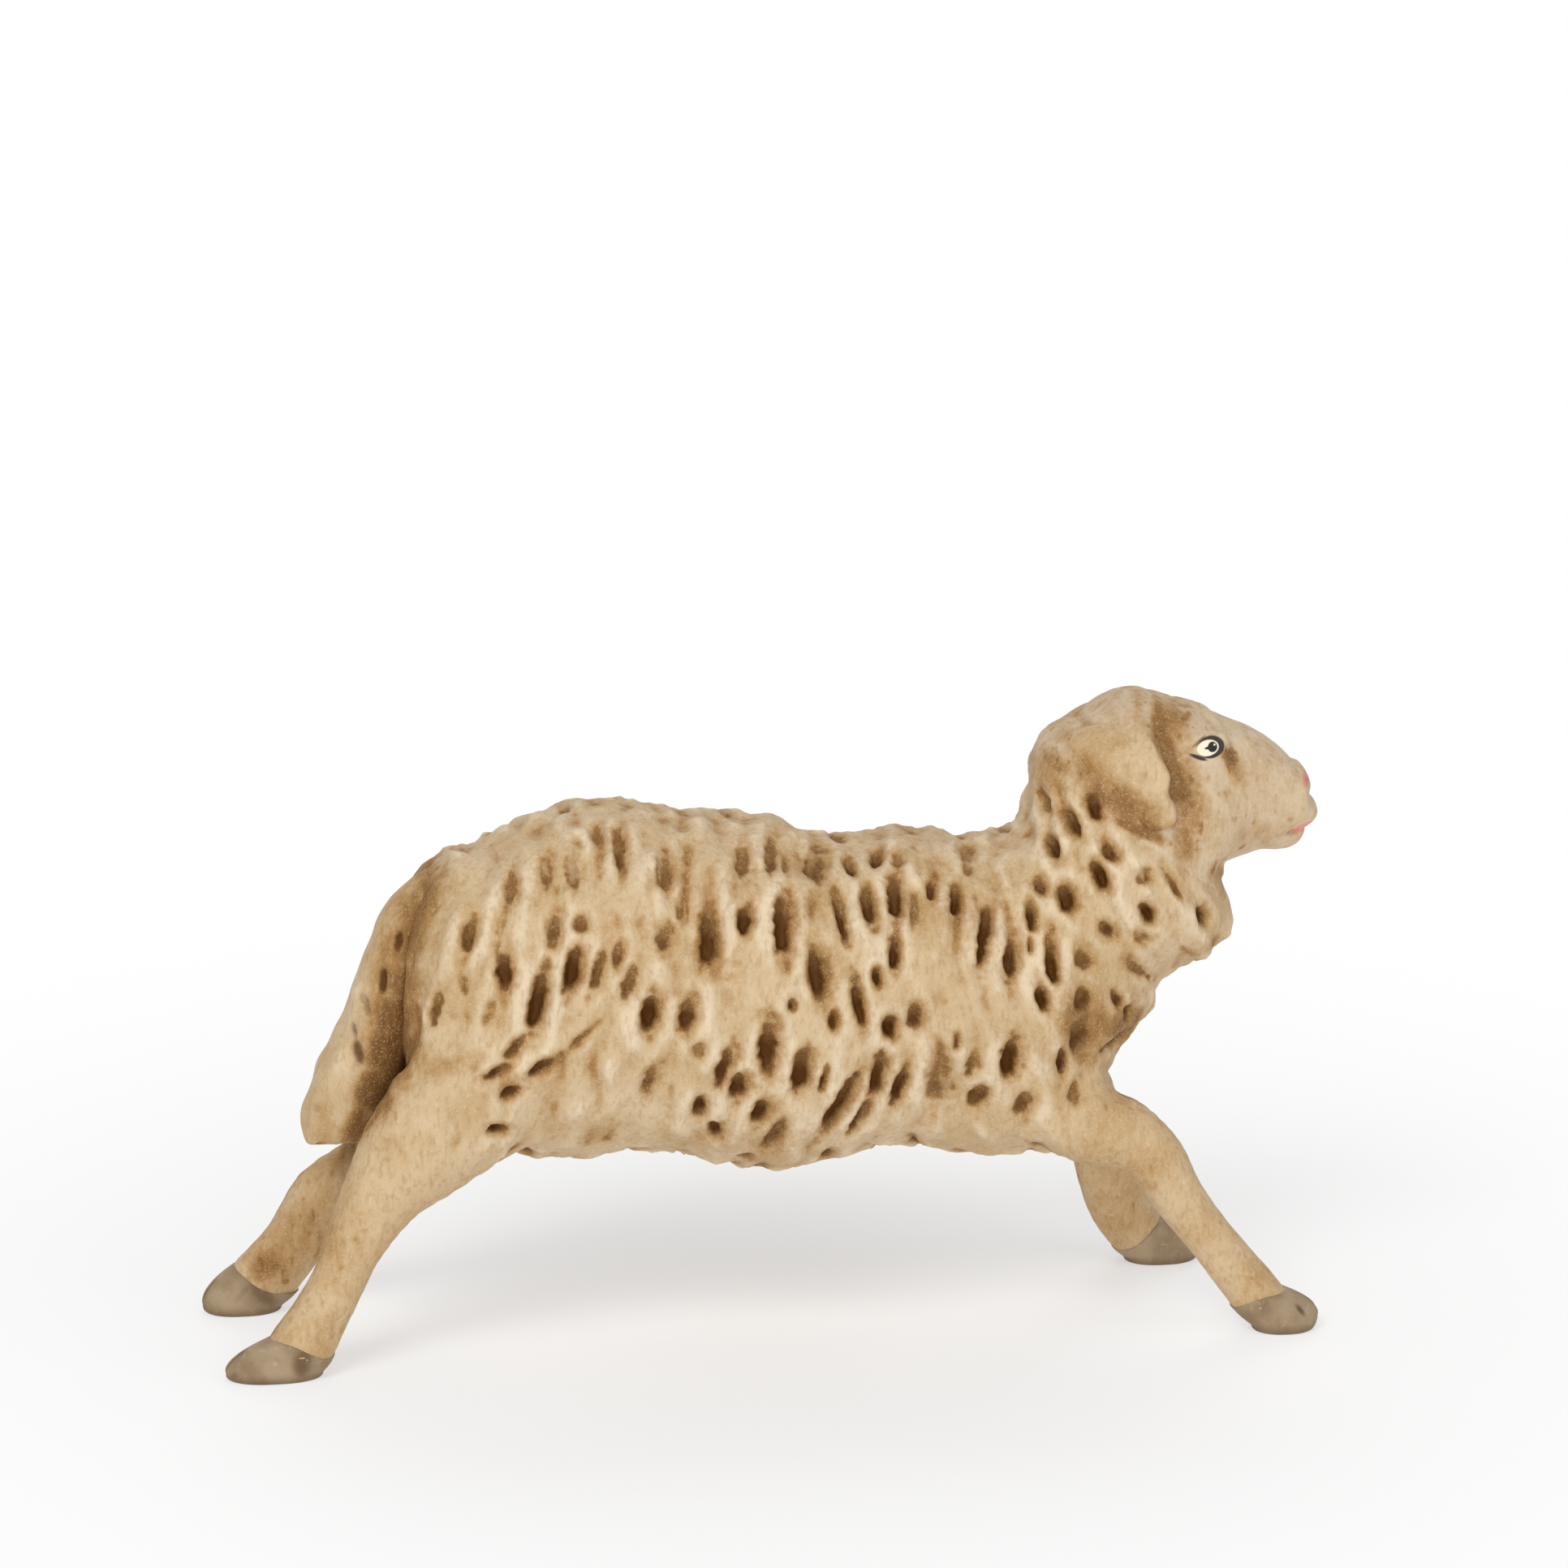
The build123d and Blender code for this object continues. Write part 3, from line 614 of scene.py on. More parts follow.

# Brown glaze, with painted shade in the hollows, valleys and grooves, as the view shows it: place, half
# length, half width, lean, strength.
seenGlazeAndShade = [
    (1444, 890, 32, 24, 0, 0.68), (1432, 884, 28, 11, -20, 0.9), (1445, 928, 42, 10, -8, 0.9),
    (1451, 962, 30, 13, 5, 0.85), (1466, 985, 60, 25, -5, 0.66), (1462, 1040, 40, 18, 10, 0.6),
    (1402, 868, 20, 12, 0, 0.45), (1515, 934, 15, 9, -25, 1.1), (1523, 950, 26, 12, -35, 0.55),
    (1376, 990, 58, 22, -58, 0.85), (1338, 893, 15, 9, -30, 0.5), (1356, 910, 17, 9, -40, 0.5),
    (1299, 940, 26, 14, -50, 0.6), (1402, 1022, 44, 8, -66, 1.15),
    (1350, 960, 50, 24, -50, 0.6), (1290, 955, 40, 22, -35, 0.5), (1322, 915, 34, 18, -40, 0.4),
    (1372, 930, 60, 30, -30, 0.15), (1480, 1168, 34, 10, 65, 0.4), (1545, 1000, 40, 34, 0, 0.2),
    (1504, 1076, 16, 16, 0, 0.65), (1335, 1262, 60, 40, -10, 0.95), (1386, 1262, 36, 22, 20, 0.9),
    (1318, 1312, 44, 30, 0, 0.5), (1430, 1012, 12, 26, 0, 0.7), (920, 1068, 140, 38, 90, 0.3),
    (1190, 1140, 110, 62, 0, 0.28), (1000, 1110, 70, 60, 0, 0.22), (930, 1405, 90, 26, 90, 0.3),
    (530, 1090, 34, 26, 40, 0.8), (511, 1122, 40, 28, 25, 0.85), (501, 1165, 42, 30, 8, 0.9),
    (495, 1210, 42, 34, 0, 0.95), (490, 1255, 42, 34, 0, 1.3), (484, 1300, 42, 40, 5, 1.45),
    (463, 1340, 38, 25, 20, 1.45), (442, 1383, 32, 17, 25, 1.1), (560, 1312, 50, 16, 75, 0.6),
    (640, 1330, 60, 12, 70, 0.45), (740, 1120, 60, 90, 0, 0.16), (570, 1190, 100, 80, 0, 0.22),
    (1100, 1250, 70, 40, 0, 0.22), (1250, 1330, 40, 60, 0, 0.25), (368, 1525, 66, 36, 35, 0.5),
    (326, 1557, 26, 22, 40, 0.75),
    (1385, 1500, 60, 34, 0, 0.25), (400, 1640, 34, 20, 20, 0.35), (1545, 1570, 26, 20, -30, 0.3),
]


def glazeAndShadeOn(points, normals, marks=seenGlazeAndShade):
    # The seen marks on the surfaces that face the view.
    pixels = seenPixels(points)
    facing = smoothStep(0.0, 0.25, -(normals @ viewAhead))
    uneven = 0.16 * valueNoise(points / np.array([1.1, 1.1, 2.0]) + 80, 16)
    uneven = uneven + 0.1 * valueNoise(points / 0.5 + 85, 17)
    found = np.zeros(len(points))
    for *oval, amount in marks:
        r = turnedOval(pixels, *oval)
        found = np.maximum(found, amount * (1 - smoothStep(0.1, 1.6, r + uneven)))
    return found * facing


def bothGlazeAndShade(points, normals):
    return np.maximum(glazeAndShadeOn(points, normals), glazeAndShadeOn(points * mirror, normals * mirror))


bothSides = foldedOver(skin)
glazeAndShade = np.maximum(stainAndShade, bothGlazeAndShade(skin, skinNormals))
# Brown glaze and painted shade under the chest, belly and chin, behind the rump and inside the thighs:
# centre, radii, strength.
underGlazeAndShade = [
    ((34.0, 0.0, 18.0), (4.0, 5.0, 5.0), 0.6),
    ((-20.0, 0.0, 20.0), (9.0, 5.0, 4.0), 0.4),
    ((46.3, 0.0, 44.7), (2.2, 7.0, 1.6), 0.6),
    ((-36.5, 0.0, 37.0), (4.0, 4.0, 14.0), 0.9),
    ((-40.0, 6.0, 20.0), (6.0, 2.5, 6.0), 0.5),
]
for centre, radii, amount in underGlazeAndShade:
    r = np.linalg.norm((bothSides - np.array(centre)) / np.array(radii), axis=1)
    glazeAndShade = np.maximum(glazeAndShade, amount * (1 - smoothStep(0.35, 1.35, r + 0.25 * locks)))


def eased(values, rounds):
    # Evens a value out over the neighbouring points.
    corners = skinFaces.ravel()
    count = np.bincount(corners, minlength=len(skin))
    for _ in range(rounds):
        values = np.bincount(corners, np.repeat(values[skinFaces].mean(axis=1), 4), len(skin)) / count
    return values


def dentLine(start, end, width, depth, points):
    # A groove along a line, as a bell curve of the distance from it.
    start, end = np.array(start), np.array(end)
    run = end - start
    t = np.clip((points - start) @ run / (run @ run), 0.0, 1.0)
    off = np.linalg.norm(points - start - t[:, None] * run, axis=1)
    return -depth * np.exp(-(off / width) ** 2)


# Before the ear, mouth, nostril, upper lip and corner of the eye: start, end, width and depth.
dents = [
    ((39.4, 5.6, 62.6), (41.2, 7.6, 55.5), 1.5, 1.1),
    ((56.3, 0.0, 50.3), (53.2, 3.3, 49.4), 0.32, 0.6),
    ((55.3, 1.7, 54.9), (54.6, 2.4, 54.5), 0.45, 0.5),
    ((56.0, 0.0, 53.3), (54.6, 2.6, 53.4), 0.4, 0.25),
    ((46.4, 5.2, 58.6), (47.4, 4.6, 57.3), 0.5, 0.2),
]
for dent in dents:
    relief += dentLine(*dent, bothSides)
# The rim of the eye socket stands up as a fine bow above and before the eye.
eyeRim = {
    "seen": [(1463, 879), (1474, 876), (1485, 879), (1496, 887), (1503, 897), (1506, 909)],
    "width": 0.42,
    "height": 0.26,
}
rim = seenPlace(eyeRim["seen"])[0] * mirror
bow = np.zeros(len(skin))
for start, end in zip(rim[:-1], rim[1:]):
    bow = np.maximum(bow, dentLine(start, end, eyeRim["width"], -eyeRim["height"], bothSides))
relief += bow

# Brown glaze in the hollows of the relief, deepened as painted shade, and a painted highlight on its
# crests.
woolGlazeAndShade = {"sunk": 0.5, "blotches": 0.2, "folds": 0.25}
bareGlazeAndShade = {"all": 0.14, "sunk": 0.3, "blotches": 0.2, "strands": 0.16, "flecks": 0.3}
sunk = smoothStep(0.0, 0.17, eased(relief, 16) - relief)
glazeAndShade = glazeAndShade + woolly * (woolGlazeAndShade["sunk"] * sunk + woolGlazeAndShade["blotches"] * smoothStep(0.0, 0.7, blotches)
                        + woolGlazeAndShade["folds"] * smoothStep(0.1, 0.8, -folds))
strands = valueNoise(skin / np.array([0.9, 0.9, 2.6]) + 55, 18)
flecks = smoothStep(0.5, 0.85, valueNoise(skin / np.array([0.45, 0.5, 0.9]) + 65, 19))
glazeAndShade = glazeAndShade + (1 - woolly) * (bareGlazeAndShade["all"] + bareGlazeAndShade["sunk"] * sunk
                              + bareGlazeAndShade["blotches"] * smoothStep(0.0, 0.8, blotches)
                              + bareGlazeAndShade["strands"] * smoothStep(0.1, 0.9, strands)
                              + bareGlazeAndShade["flecks"] * flecks)
glazeAndShade = np.clip(glazeAndShade, 0.0, 1.0)
# Painted highlight on the crests of the relief.
crestHighlight = (0.35 + 0.65 * woolly) * smoothStep(0.02, 0.16, eased(relief, 7) - eased(relief, 34))
skin = skin + relief[:, None] * skinNormals
skinNormals = pointNormals(skin, skinFaces)
print("fleece pressed in")


def meshPiece(name, points, quads, tris, given, normals=None):
    # A mesh object from whole arrays, with one value per point for each given name.
    loops = np.concatenate([quads.ravel(), tris.ravel()]).astype(np.int32)
    sizes = np.concatenate([np.full(len(quads), 4), np.full(len(tris), 3)])
    starts = (np.cumsum(sizes) - sizes).astype(np.int32)
    mesh = bpy.data.meshes.new(name)
    mesh.vertices.add(len(points))
    mesh.vertices.foreach_set("co", ((points + frameShift) * millimetre).astype(np.float32).ravel())
    mesh.loops.add(len(loops))
    mesh.loops.foreach_set("vertex_index", loops)
    mesh.polygons.add(len(sizes))
    mesh.polygons.foreach_set("loop_start", starts)
    mesh.update(calc_edges=True)
    mesh.validate()
    mesh.polygons.foreach_set("use_smooth", np.ones(len(sizes), bool))
    for key, column in given.items():
        layer = mesh.attributes.new(key, "FLOAT", "POINT")
        layer.data.foreach_set("value", column.astype(np.float32))
    if normals is not None:
        mesh.normals_split_custom_set_from_vertices(normals.tolist())
    piece = bpy.data.objects.new(name, mesh)
    bpy.context.scene.collection.objects.link(piece)
    return piece


def enrol(piece, name, triangles):
    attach(piece, "root")
    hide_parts(name)
    print(name, triangles, "triangles")
    return piece


def closed(points, quads, spine):
    # Fans each open rim of a cut surface to a point in its middle, and the longest to a spine, if any.
    count = len(points)
    ends = np.stack([quads, np.roll(quads, -1, axis=1)], axis=2).reshape(-1, 2)
    key = ends[:, 0] * count + ends[:, 1]
    back = ends[:, 1] * count + ends[:, 0]
    rim = ends[~np.isin(key, back)]
    label = np.arange(count)
    while True:
        least = np.minimum(label[rim[:, 0]], label[rim[:, 1]])
        fresh = label.copy()
        np.minimum.at(fresh, rim[:, 0], least)
        np.minimum.at(fresh, rim[:, 1], least)
        fresh = fresh[fresh]
        if (fresh == label).all():
            break
        label = fresh
    groups, which = np.unique(label[rim[:, 0]], return_inverse=True)
    size = np.bincount(which)
    middles = np.stack([np.bincount(which, points[rim[:, 0], a]) / size for a in range(3)], axis=1)
    tris = np.stack([rim[:, 1], rim[:, 0], count + which], axis=1)
    if spine is not None:
        longest = which == size.argmax()
        toSpine = np.linalg.norm(points[rim[longest]][:, :, None] - spine, axis=3).argmin(axis=2)
        first = count + len(groups)
        tris[longest, 2] = first + toSpine[:, 0]
        steps = []
        for end, (a, b) in zip(rim[longest][:, 1], toSpine):
            way = 1 if b > a else -1
            steps += [(end, first + i, first + i + way) for i in range(a, b, way)]
        tris = np.concatenate([tris, np.array(steps)])
        middles = np.concatenate([middles, spine])
    return np.concatenate([points, middles]), tris, len(middles)


def cutPiece(name, keep, spine=None):
    # The kept faces of the body's skin as a piece of their own, with their open rims closed.
    quads = skinFaces[keep]
    used, renumbered = np.unique(quads, return_inverse=True)
    quads = renumbered.reshape(-1, 4)
    points, tris, added = closed(skin[used], quads, spine)
    pad = np.zeros(added)
    given = {
        "glazeAndShade": np.concatenate([glazeAndShade[used], pad]),
        "pit": np.concatenate([pit[used], pad]),
        "crestHighlight": np.concatenate([crestHighlight[used], pad]),
    }
    normals = np.concatenate([skinNormals[used], np.tile([0.0, 0.0, 1.0], (added, 1))])
    piece = meshPiece(name + "_form", points, quads, tris, given, normals)
    return enrol(piece, name, len(quads) * 2 + len(tris))


faceMiddle = skin[skinFaces].mean(axis=1)
onHead = (faceMiddle - np.array(head["seam"][0])) @ np.array(head["seam"][1]) > 0
remaining = ~onHead
hoofCut = 0.55
pieces = {"head": cutPiece("head", onHead)}
for name, leg in legs.items():
    hoof = leg["hoof"]
    keep = legShare[name][skinFaces].all(axis=1) & remaining
    remaining &= ~keep
    under = (faceMiddle - np.array(hoof["centre"])) @ np.array(hoof["lean"]) > hoofCut
    pieces[name] = cutPiece(name, keep & ~under)
spine = [(-24.0, 0.0, 36.0), (0.0, 0.0, 34.5), (20.0, 0.0, 34.0), (31.0, 0.0, 43.0), head["seam"][0]]
spine = denseRows(spine, 5)
onRight = faceMiddle[:, 1] < 0
for name, half in (("torso_right_shell", onRight), ("torso_left_shell", ~onRight)):
    pieces[name] = cutPiece(name, remaining & half, spine)


def tubeFaces(rings, around):
    # Faces between rings that close round on themselves.
    i = np.arange(rings - 1)[:, None] * around
    j = np.arange(around)[None, :]
    k = (j + 1) % around
    return np.stack([i + j, i + k, i + around + k, i + around + j], axis=-1).reshape(-1, 4)


def closedTube(grid):
    # A tube of rings with a middle point at each end, facing outward.
    rings, around = grid.shape[:2]
    points = np.concatenate([grid.reshape(-1, 3), grid[:1].mean(axis=1), grid[-1:].mean(axis=1)])
    quads = tubeFaces(rings, around)
    j = np.arange(around)
    k = (j + 1) % around
    last = (rings - 1) * around
    first = np.stack([k, j, np.full(around, rings * around)], axis=1)
    final = np.stack([last + j, last + k, np.full(around, rings * around + 1)], axis=1)
    tris = np.concatenate([first, final])
    a, b, c = points[quads[:, 0]], points[quads[:, 1]], points[quads[:, 2]]
    volume = (a * np.cross(b, c)).sum() + (a * np.cross(c, points[quads[:, 3]])).sum()
    if volume < 0:
        quads, tris = quads[:, ::-1], tris[:, ::-1]
    return points, quads, tris


def ownPiece(name, grid, given):
    points, quads, tris = closedTube(grid)
    flat = {}
    for key, column in given.items():
        flat[key] = np.concatenate([column.ravel(), column[0, :1], column[-1, :1]])
    piece = meshPiece(name + "_form", points, quads, tris, flat)
    return enrol(piece, name, len(quads) * 2 + len(tris))


def gridNormals(grid):
    # Across both directions of a grid of rings, pointing out of the tube.
    along = np.gradient(grid, axis=0)
    around = np.roll(grid, -1, axis=1) - np.roll(grid, 1, axis=1)
    across = np.cross(along, around)
    across = across / np.maximum(np.linalg.norm(across, axis=2, keepdims=True), 1e-9)
    outward = grid - grid.mean(axis=1, keepdims=True)
    return across * np.sign((across * outward).sum())


tail = {
    # x, y, z, half depth, half width
    "rows": [(-30.6, 0.0, 47.6, 1.7, 2.6), (-34.7, 0.0, 44.2, 2.45, 3.4), (-36.4, 0.0, 39.2, 2.95, 4.1),
             (-38.3, 0.0, 32.5, 3.7, 4.3), (-40.4, 0.0, 26.2, 4.5, 4.4), (-41.3, 0.0, 22.6, 4.7, 4.2),
             (-41.3, 0.0, 21.5, 4.1, 3.6)],
    "steps": 22,
    "around": 160,
    "folds": 0.26,
    "locks": 0.14,
    "pitDepth": 0.6,
}
rows = denseRows(tail["rows"], tail["steps"])
path = rows[:, :3]
run = np.gradient(path, axis=0)
run = run / np.linalg.norm(run, axis=1, keepdims=True)
sideways = np.tile([0.0, 1.0, 0.0], (len(rows), 1))
outward = np.cross(sideways, run)
turn = np.linspace(0, 2 * np.pi, tail["around"], endpoint=False)
grid = (path[:, None] + np.cos(turn)[None, :, None] * outward[:, None] * rows[:, None, 3:4]
        + np.sin(turn)[None, :, None] * sideways[:, None] * rows[:, None, 4:5])
flat = grid.reshape(-1, 3)
tailFolds = valueNoise(flat / np.array([2.0, 1.7, 6.0]) + 30, 6).reshape(grid.shape[:2])
tailLocks = valueNoise(flat / np.array([1.3, 1.2, 2.4]) + 50, 7).reshape(grid.shape[:2])
tailNormals = gridNormals(grid)
tailPit = np.zeros(grid.shape[:2])
tailRelief = tail["folds"] * tailFolds + tail["locks"] * tailLocks
# Pits of the tail in the view, as above; the far side has the same ones.
seenTailPits = [
    (470, 1208, 20, 7, 0, 0.95), (450, 1238, 20, 6, -15, 0.5), (441, 1296, 20, 8, -15, 0.7),
    (491, 1160, 16, 7, 10, 0.8), (435, 1268, 14, 5, -20, 0.5), (388, 1365, 9, 6, 0, 0.3),
]
for way in (np.ones(3), mirror):
    pixels = seenPixels(flat * way)
    facing = smoothStep(0.0, 0.2, -(tailNormals.reshape(-1, 3) * way) @ viewAhead)
    for *oval, dark in seenTailPits:
        r = turnedOval(pixels, *oval)
        pressed = (facing * (1 - smoothStep(0.4, 1.2, r))).reshape(grid.shape[:2])
        tailRelief = tailRelief - tail["pitDepth"] * dark * pressed
        tailPit = np.maximum(tailPit, dark * pressed)
# Brown glaze and painted shade: the seen marks, the fold hollows, and painted shade on the side that faces
# the rump.
tailGlazeAndShade = bothGlazeAndShade(flat, tailNormals.reshape(-1, 3)).reshape(grid.shape[:2])
rumpSideShade = smoothStep(0.2, 0.9, tailNormals[..., 0])
tailGlazeAndShade = np.clip(tailGlazeAndShade + 0.1 + 0.35 * smoothStep(0.0, 0.9, -tailFolds) + 0.9 * rumpSideShade, 0.0, 1.35)
grid = grid + tailRelief[..., None] * tailNormals
pieces["tail"] = ownPiece("tail", grid, {
    "glazeAndShade": tailGlazeAndShade, "pit": tailPit, "crestHighlight": smoothStep(0.2, 0.9, tailFolds)})

ear = {
    # front x, y, z then rear x, y, z and half thickness, from the root to the tip
    "rows": [(37.3, 5.0, 62.1, 31.0, 2.4, 60.8, 0.65), (38.1, 6.8, 60.8, 29.6, 3.2, 59.4, 0.9),
             (38.8, 8.2, 59.2, 29.2, 3.8, 57.8, 1.05), (39.6, 8.9, 57.6, 30.4, 4.4, 55.8, 1.0),
             (39.4, 9.1, 55.8, 32.8, 5.5, 54.3, 0.95), (40.2, 8.8, 54.3, 35.7, 7.1, 52.9, 0.85),
             (40.3, 8.8, 53.1, 37.5, 8.0, 52.0, 0.65), (39.8, 8.6, 52.4, 38.6, 8.3, 51.8, 0.35)],
    "steps": 14,
    "around": 120,
    "uneven": 0.11,
}
rows = denseRows(ear["rows"], ear["steps"])
middle = (rows[:, :3] + rows[:, 3:6]) / 2
half = (rows[:, :3] - rows[:, 3:6]) / 2
run = np.gradient(middle, axis=0)
face = np.cross(half, run)
face = face / np.linalg.norm(face, axis=1, keepdims=True)
face = face * np.sign(face[:, 1:2])
turn = np.linspace(0, 2 * np.pi, ear["around"], endpoint=False)
edge = np.sign(np.cos(turn)) * np.abs(np.cos(turn)) ** 0.8
thick = np.sign(np.sin(turn)) * np.abs(np.sin(turn)) ** np.where(edge > 0, 0.55, 1.3)
grid = (middle[:, None] + edge[None, :, None] * half[:, None]
        + thick[None, :, None] * face[:, None] * rows[:, None, 6:7])
flat = grid.reshape(-1, 3)
earNoise = valueNoise(flat / 1.6 + 20, 8).reshape(grid.shape[:2])
grid = grid + ear["uneven"] * earNoise[..., None] * gridNormals(grid)
earNormals = gridNormals(grid).reshape(-1, 3) * mirror
# Glaze on the ear in the view, with painted shade along its lower edge; its tip is left unglazed and pale
# where the highlight falls.
seenEarGlazeAndShade = [
    (1377, 988, 66, 25, -58, 0.95), (1345, 957, 46, 24, -50, 0.55), (1404, 868, 20, 12, 0, 0.45),
    (1402, 1012, 36, 9, -66, 1.2), (1372, 930, 60, 30, -30, 0.15),
]
earGlazeAndShade = glazeAndShadeOn(flat * mirror, earNormals, seenEarGlazeAndShade).reshape(grid.shape[:2])
earGlazeAndShade = np.clip(earGlazeAndShade + 0.15 + 0.2 * smoothStep(0.0, 0.8, earNoise), 0.0, 1.0)
plain = np.zeros(earGlazeAndShade.shape)
for name, way in (("ear_right", mirror), ("ear_left", np.ones(3))):
    pieces[name] = ownPiece(name, grid * way, {"glazeAndShade": earGlazeAndShade, "pit": plain, "crestHighlight": plain})

hoofForm = {
    "around": 160,
    "rings": 22,
    "halfWidth": 2.55,
    "lip": 0.12,
    "edge": 0.5,
    "inset": 0.35,
    "toeInset": 0.4,
    "toeFlare": 0.7,
    "swell": 0.15,
    "cleft": 0.5,
    "cleftWide": 0.13,
    "darkWide": 0.2,
    "wave": 0.35,
    "legRadius": 2.5,  # where the search for the leg's surface starts
    "plug": 0.9,  # the top closes inside the leg, at this share of its radius
}
# Dark marks on the hooves in the view: place, half length, half width, lean, strength.
seenHoofMarks = [
    (1602, 1614, 11, 4, -38, 1.6), (374, 1677, 26, 14, 20, 1.2), (322, 1592, 26, 13, -40, 1.0),
    (289, 1697, 7, 6, 0, 0.9), (300, 1592, 20, 5, 40, 0.4), (1560, 1612, 18, 8, -20, 0.5),
]
turn = np.linspace(0, 2 * np.pi, hoofForm["around"], endpoint=False)
toeward = np.clip(np.cos(turn), 0.0, 1.0) ** 2
for leg in legs.values():
    hoof = leg["hoof"]
    lean = np.array(hoof["lean"])
    # The paint line is wavy, as a brush leaves it.
    wave = hoofForm["wave"] * np.sin(2 * turn + hoof["sole"])
    centre = np.array(hoof["centre"]) + wave[:, None] * lean
    forward = np.array([-lean[2], 0.0, lean[0]]) * hoof["toe"]
    forward = forward / np.linalg.norm(forward)
    spoke = np.cos(turn)[:, None] * forward + np.sin(turn)[:, None] * np.array([0.0, 1.0, 0.0])
    radius = np.full(len(turn), hoofForm["legRadius"])
    for _ in range(12):
        radius = radius - limb(centre + radius[:, None] * spoke, leg["dense"]) * 0.9
    top = centre + (radius + hoofForm["lip"])[:, None] * spoke
    shape = np.abs(np.cos(turn)) ** 0.85 * np.sign(np.cos(turn))
    edge = hoofForm["edge"] + hoof["toeHeight"] * toeward
    sole = np.stack([hoof["sole"] + hoof["toe"] * shape * hoof["length"] / 2,
                     hoof["centre"][1] + np.sin(turn) * hoofForm["halfWidth"], edge], axis=1)
    # Rings run from the paint line to the lower edge, swell a little between and turn in to the sole.
    t = np.linspace(0, 1, hoofForm["rings"])[:, None, None]
    flare = 1 - (1 - t) ** (1 + hoofForm["toeFlare"] * toeward[None, :, None])
    even = np.broadcast_to(t, flare.shape)
    ease = np.concatenate([flare, even, even], axis=2)
    middle = np.array([hoof["sole"], hoof["centre"][1], 0.0])
    grid = top[None] * (1 - ease) + sole[None] * ease
    swell = hoofForm["swell"] * np.sin(np.pi * t) * (sole - middle) / hoof["length"]
    grid = grid + swell * np.array([2.0, 0.4, 0.0])
    toeAngle = np.minimum(turn, 2 * np.pi - turn)
    groove = np.exp(-(toeAngle / hoofForm["cleftWide"]) ** 2)[None, :, None] * smoothStep(0.2, 0.55, t)
    grid = grid - hoofForm["cleft"] * groove * np.array([hoof["toe"], 0.0, 0.0])
    inset = hoofForm["inset"] + hoofForm["toeInset"] * toeward
    outward = (grid[-1] - middle) * np.array([1.0, 1.0, 0.0])
    outward = outward / np.linalg.norm(outward, axis=1, keepdims=True)
    rounding = []
    for angle in (0.35, 0.7, 1.05, math.pi / 2):
        ring = grid[-1] - outward * (inset * (1 - math.cos(angle)))[:, None]
        ring[:, 2] = edge * (1 - math.sin(angle))
        rounding.append(ring)
    under = np.array(hoof["centre"]) + (top - np.array(hoof["centre"])) * hoofForm["plug"]
    grid = np.concatenate([under[None], grid, np.array(rounding)])
    # Darker towards the sole, and painted shade in the cleft.
    inCleft = smoothStep(0.3, 1.0, np.exp(-(toeAngle / hoofForm["darkWide"]) ** 2))
    inCleft = inCleft[None, :] * smoothStep(3.4, 2.4, grid[..., 2])
    hoofDarkening = np.clip(smoothStep(1.3, 0.1, grid[..., 2]) + inCleft, 0.0, 1.0)
    pixels = seenPixels(grid.reshape(-1, 3))
    for *oval, dark in seenHoofMarks:
        r = turnedOval(pixels, *oval)
        hoofDarkening = np.maximum(hoofDarkening, dark * (1 - smoothStep(0.3, 1.2, r)).reshape(hoofDarkening.shape))
    pieces[hoof["node"]] = ownPiece(hoof["node"], grid, {"glazeAndShade": hoofDarkening})


def shade(red, green, blue):
    # A display colour from 0 to 255 as linear light.
    parts = np.array([red, green, blue]) / 255.0
    linear = np.where(parts <= 0.04045, parts / 12.92, ((parts + 0.055) / 1.055) ** 2.4)
    return (*linear.tolist(), 1.0)


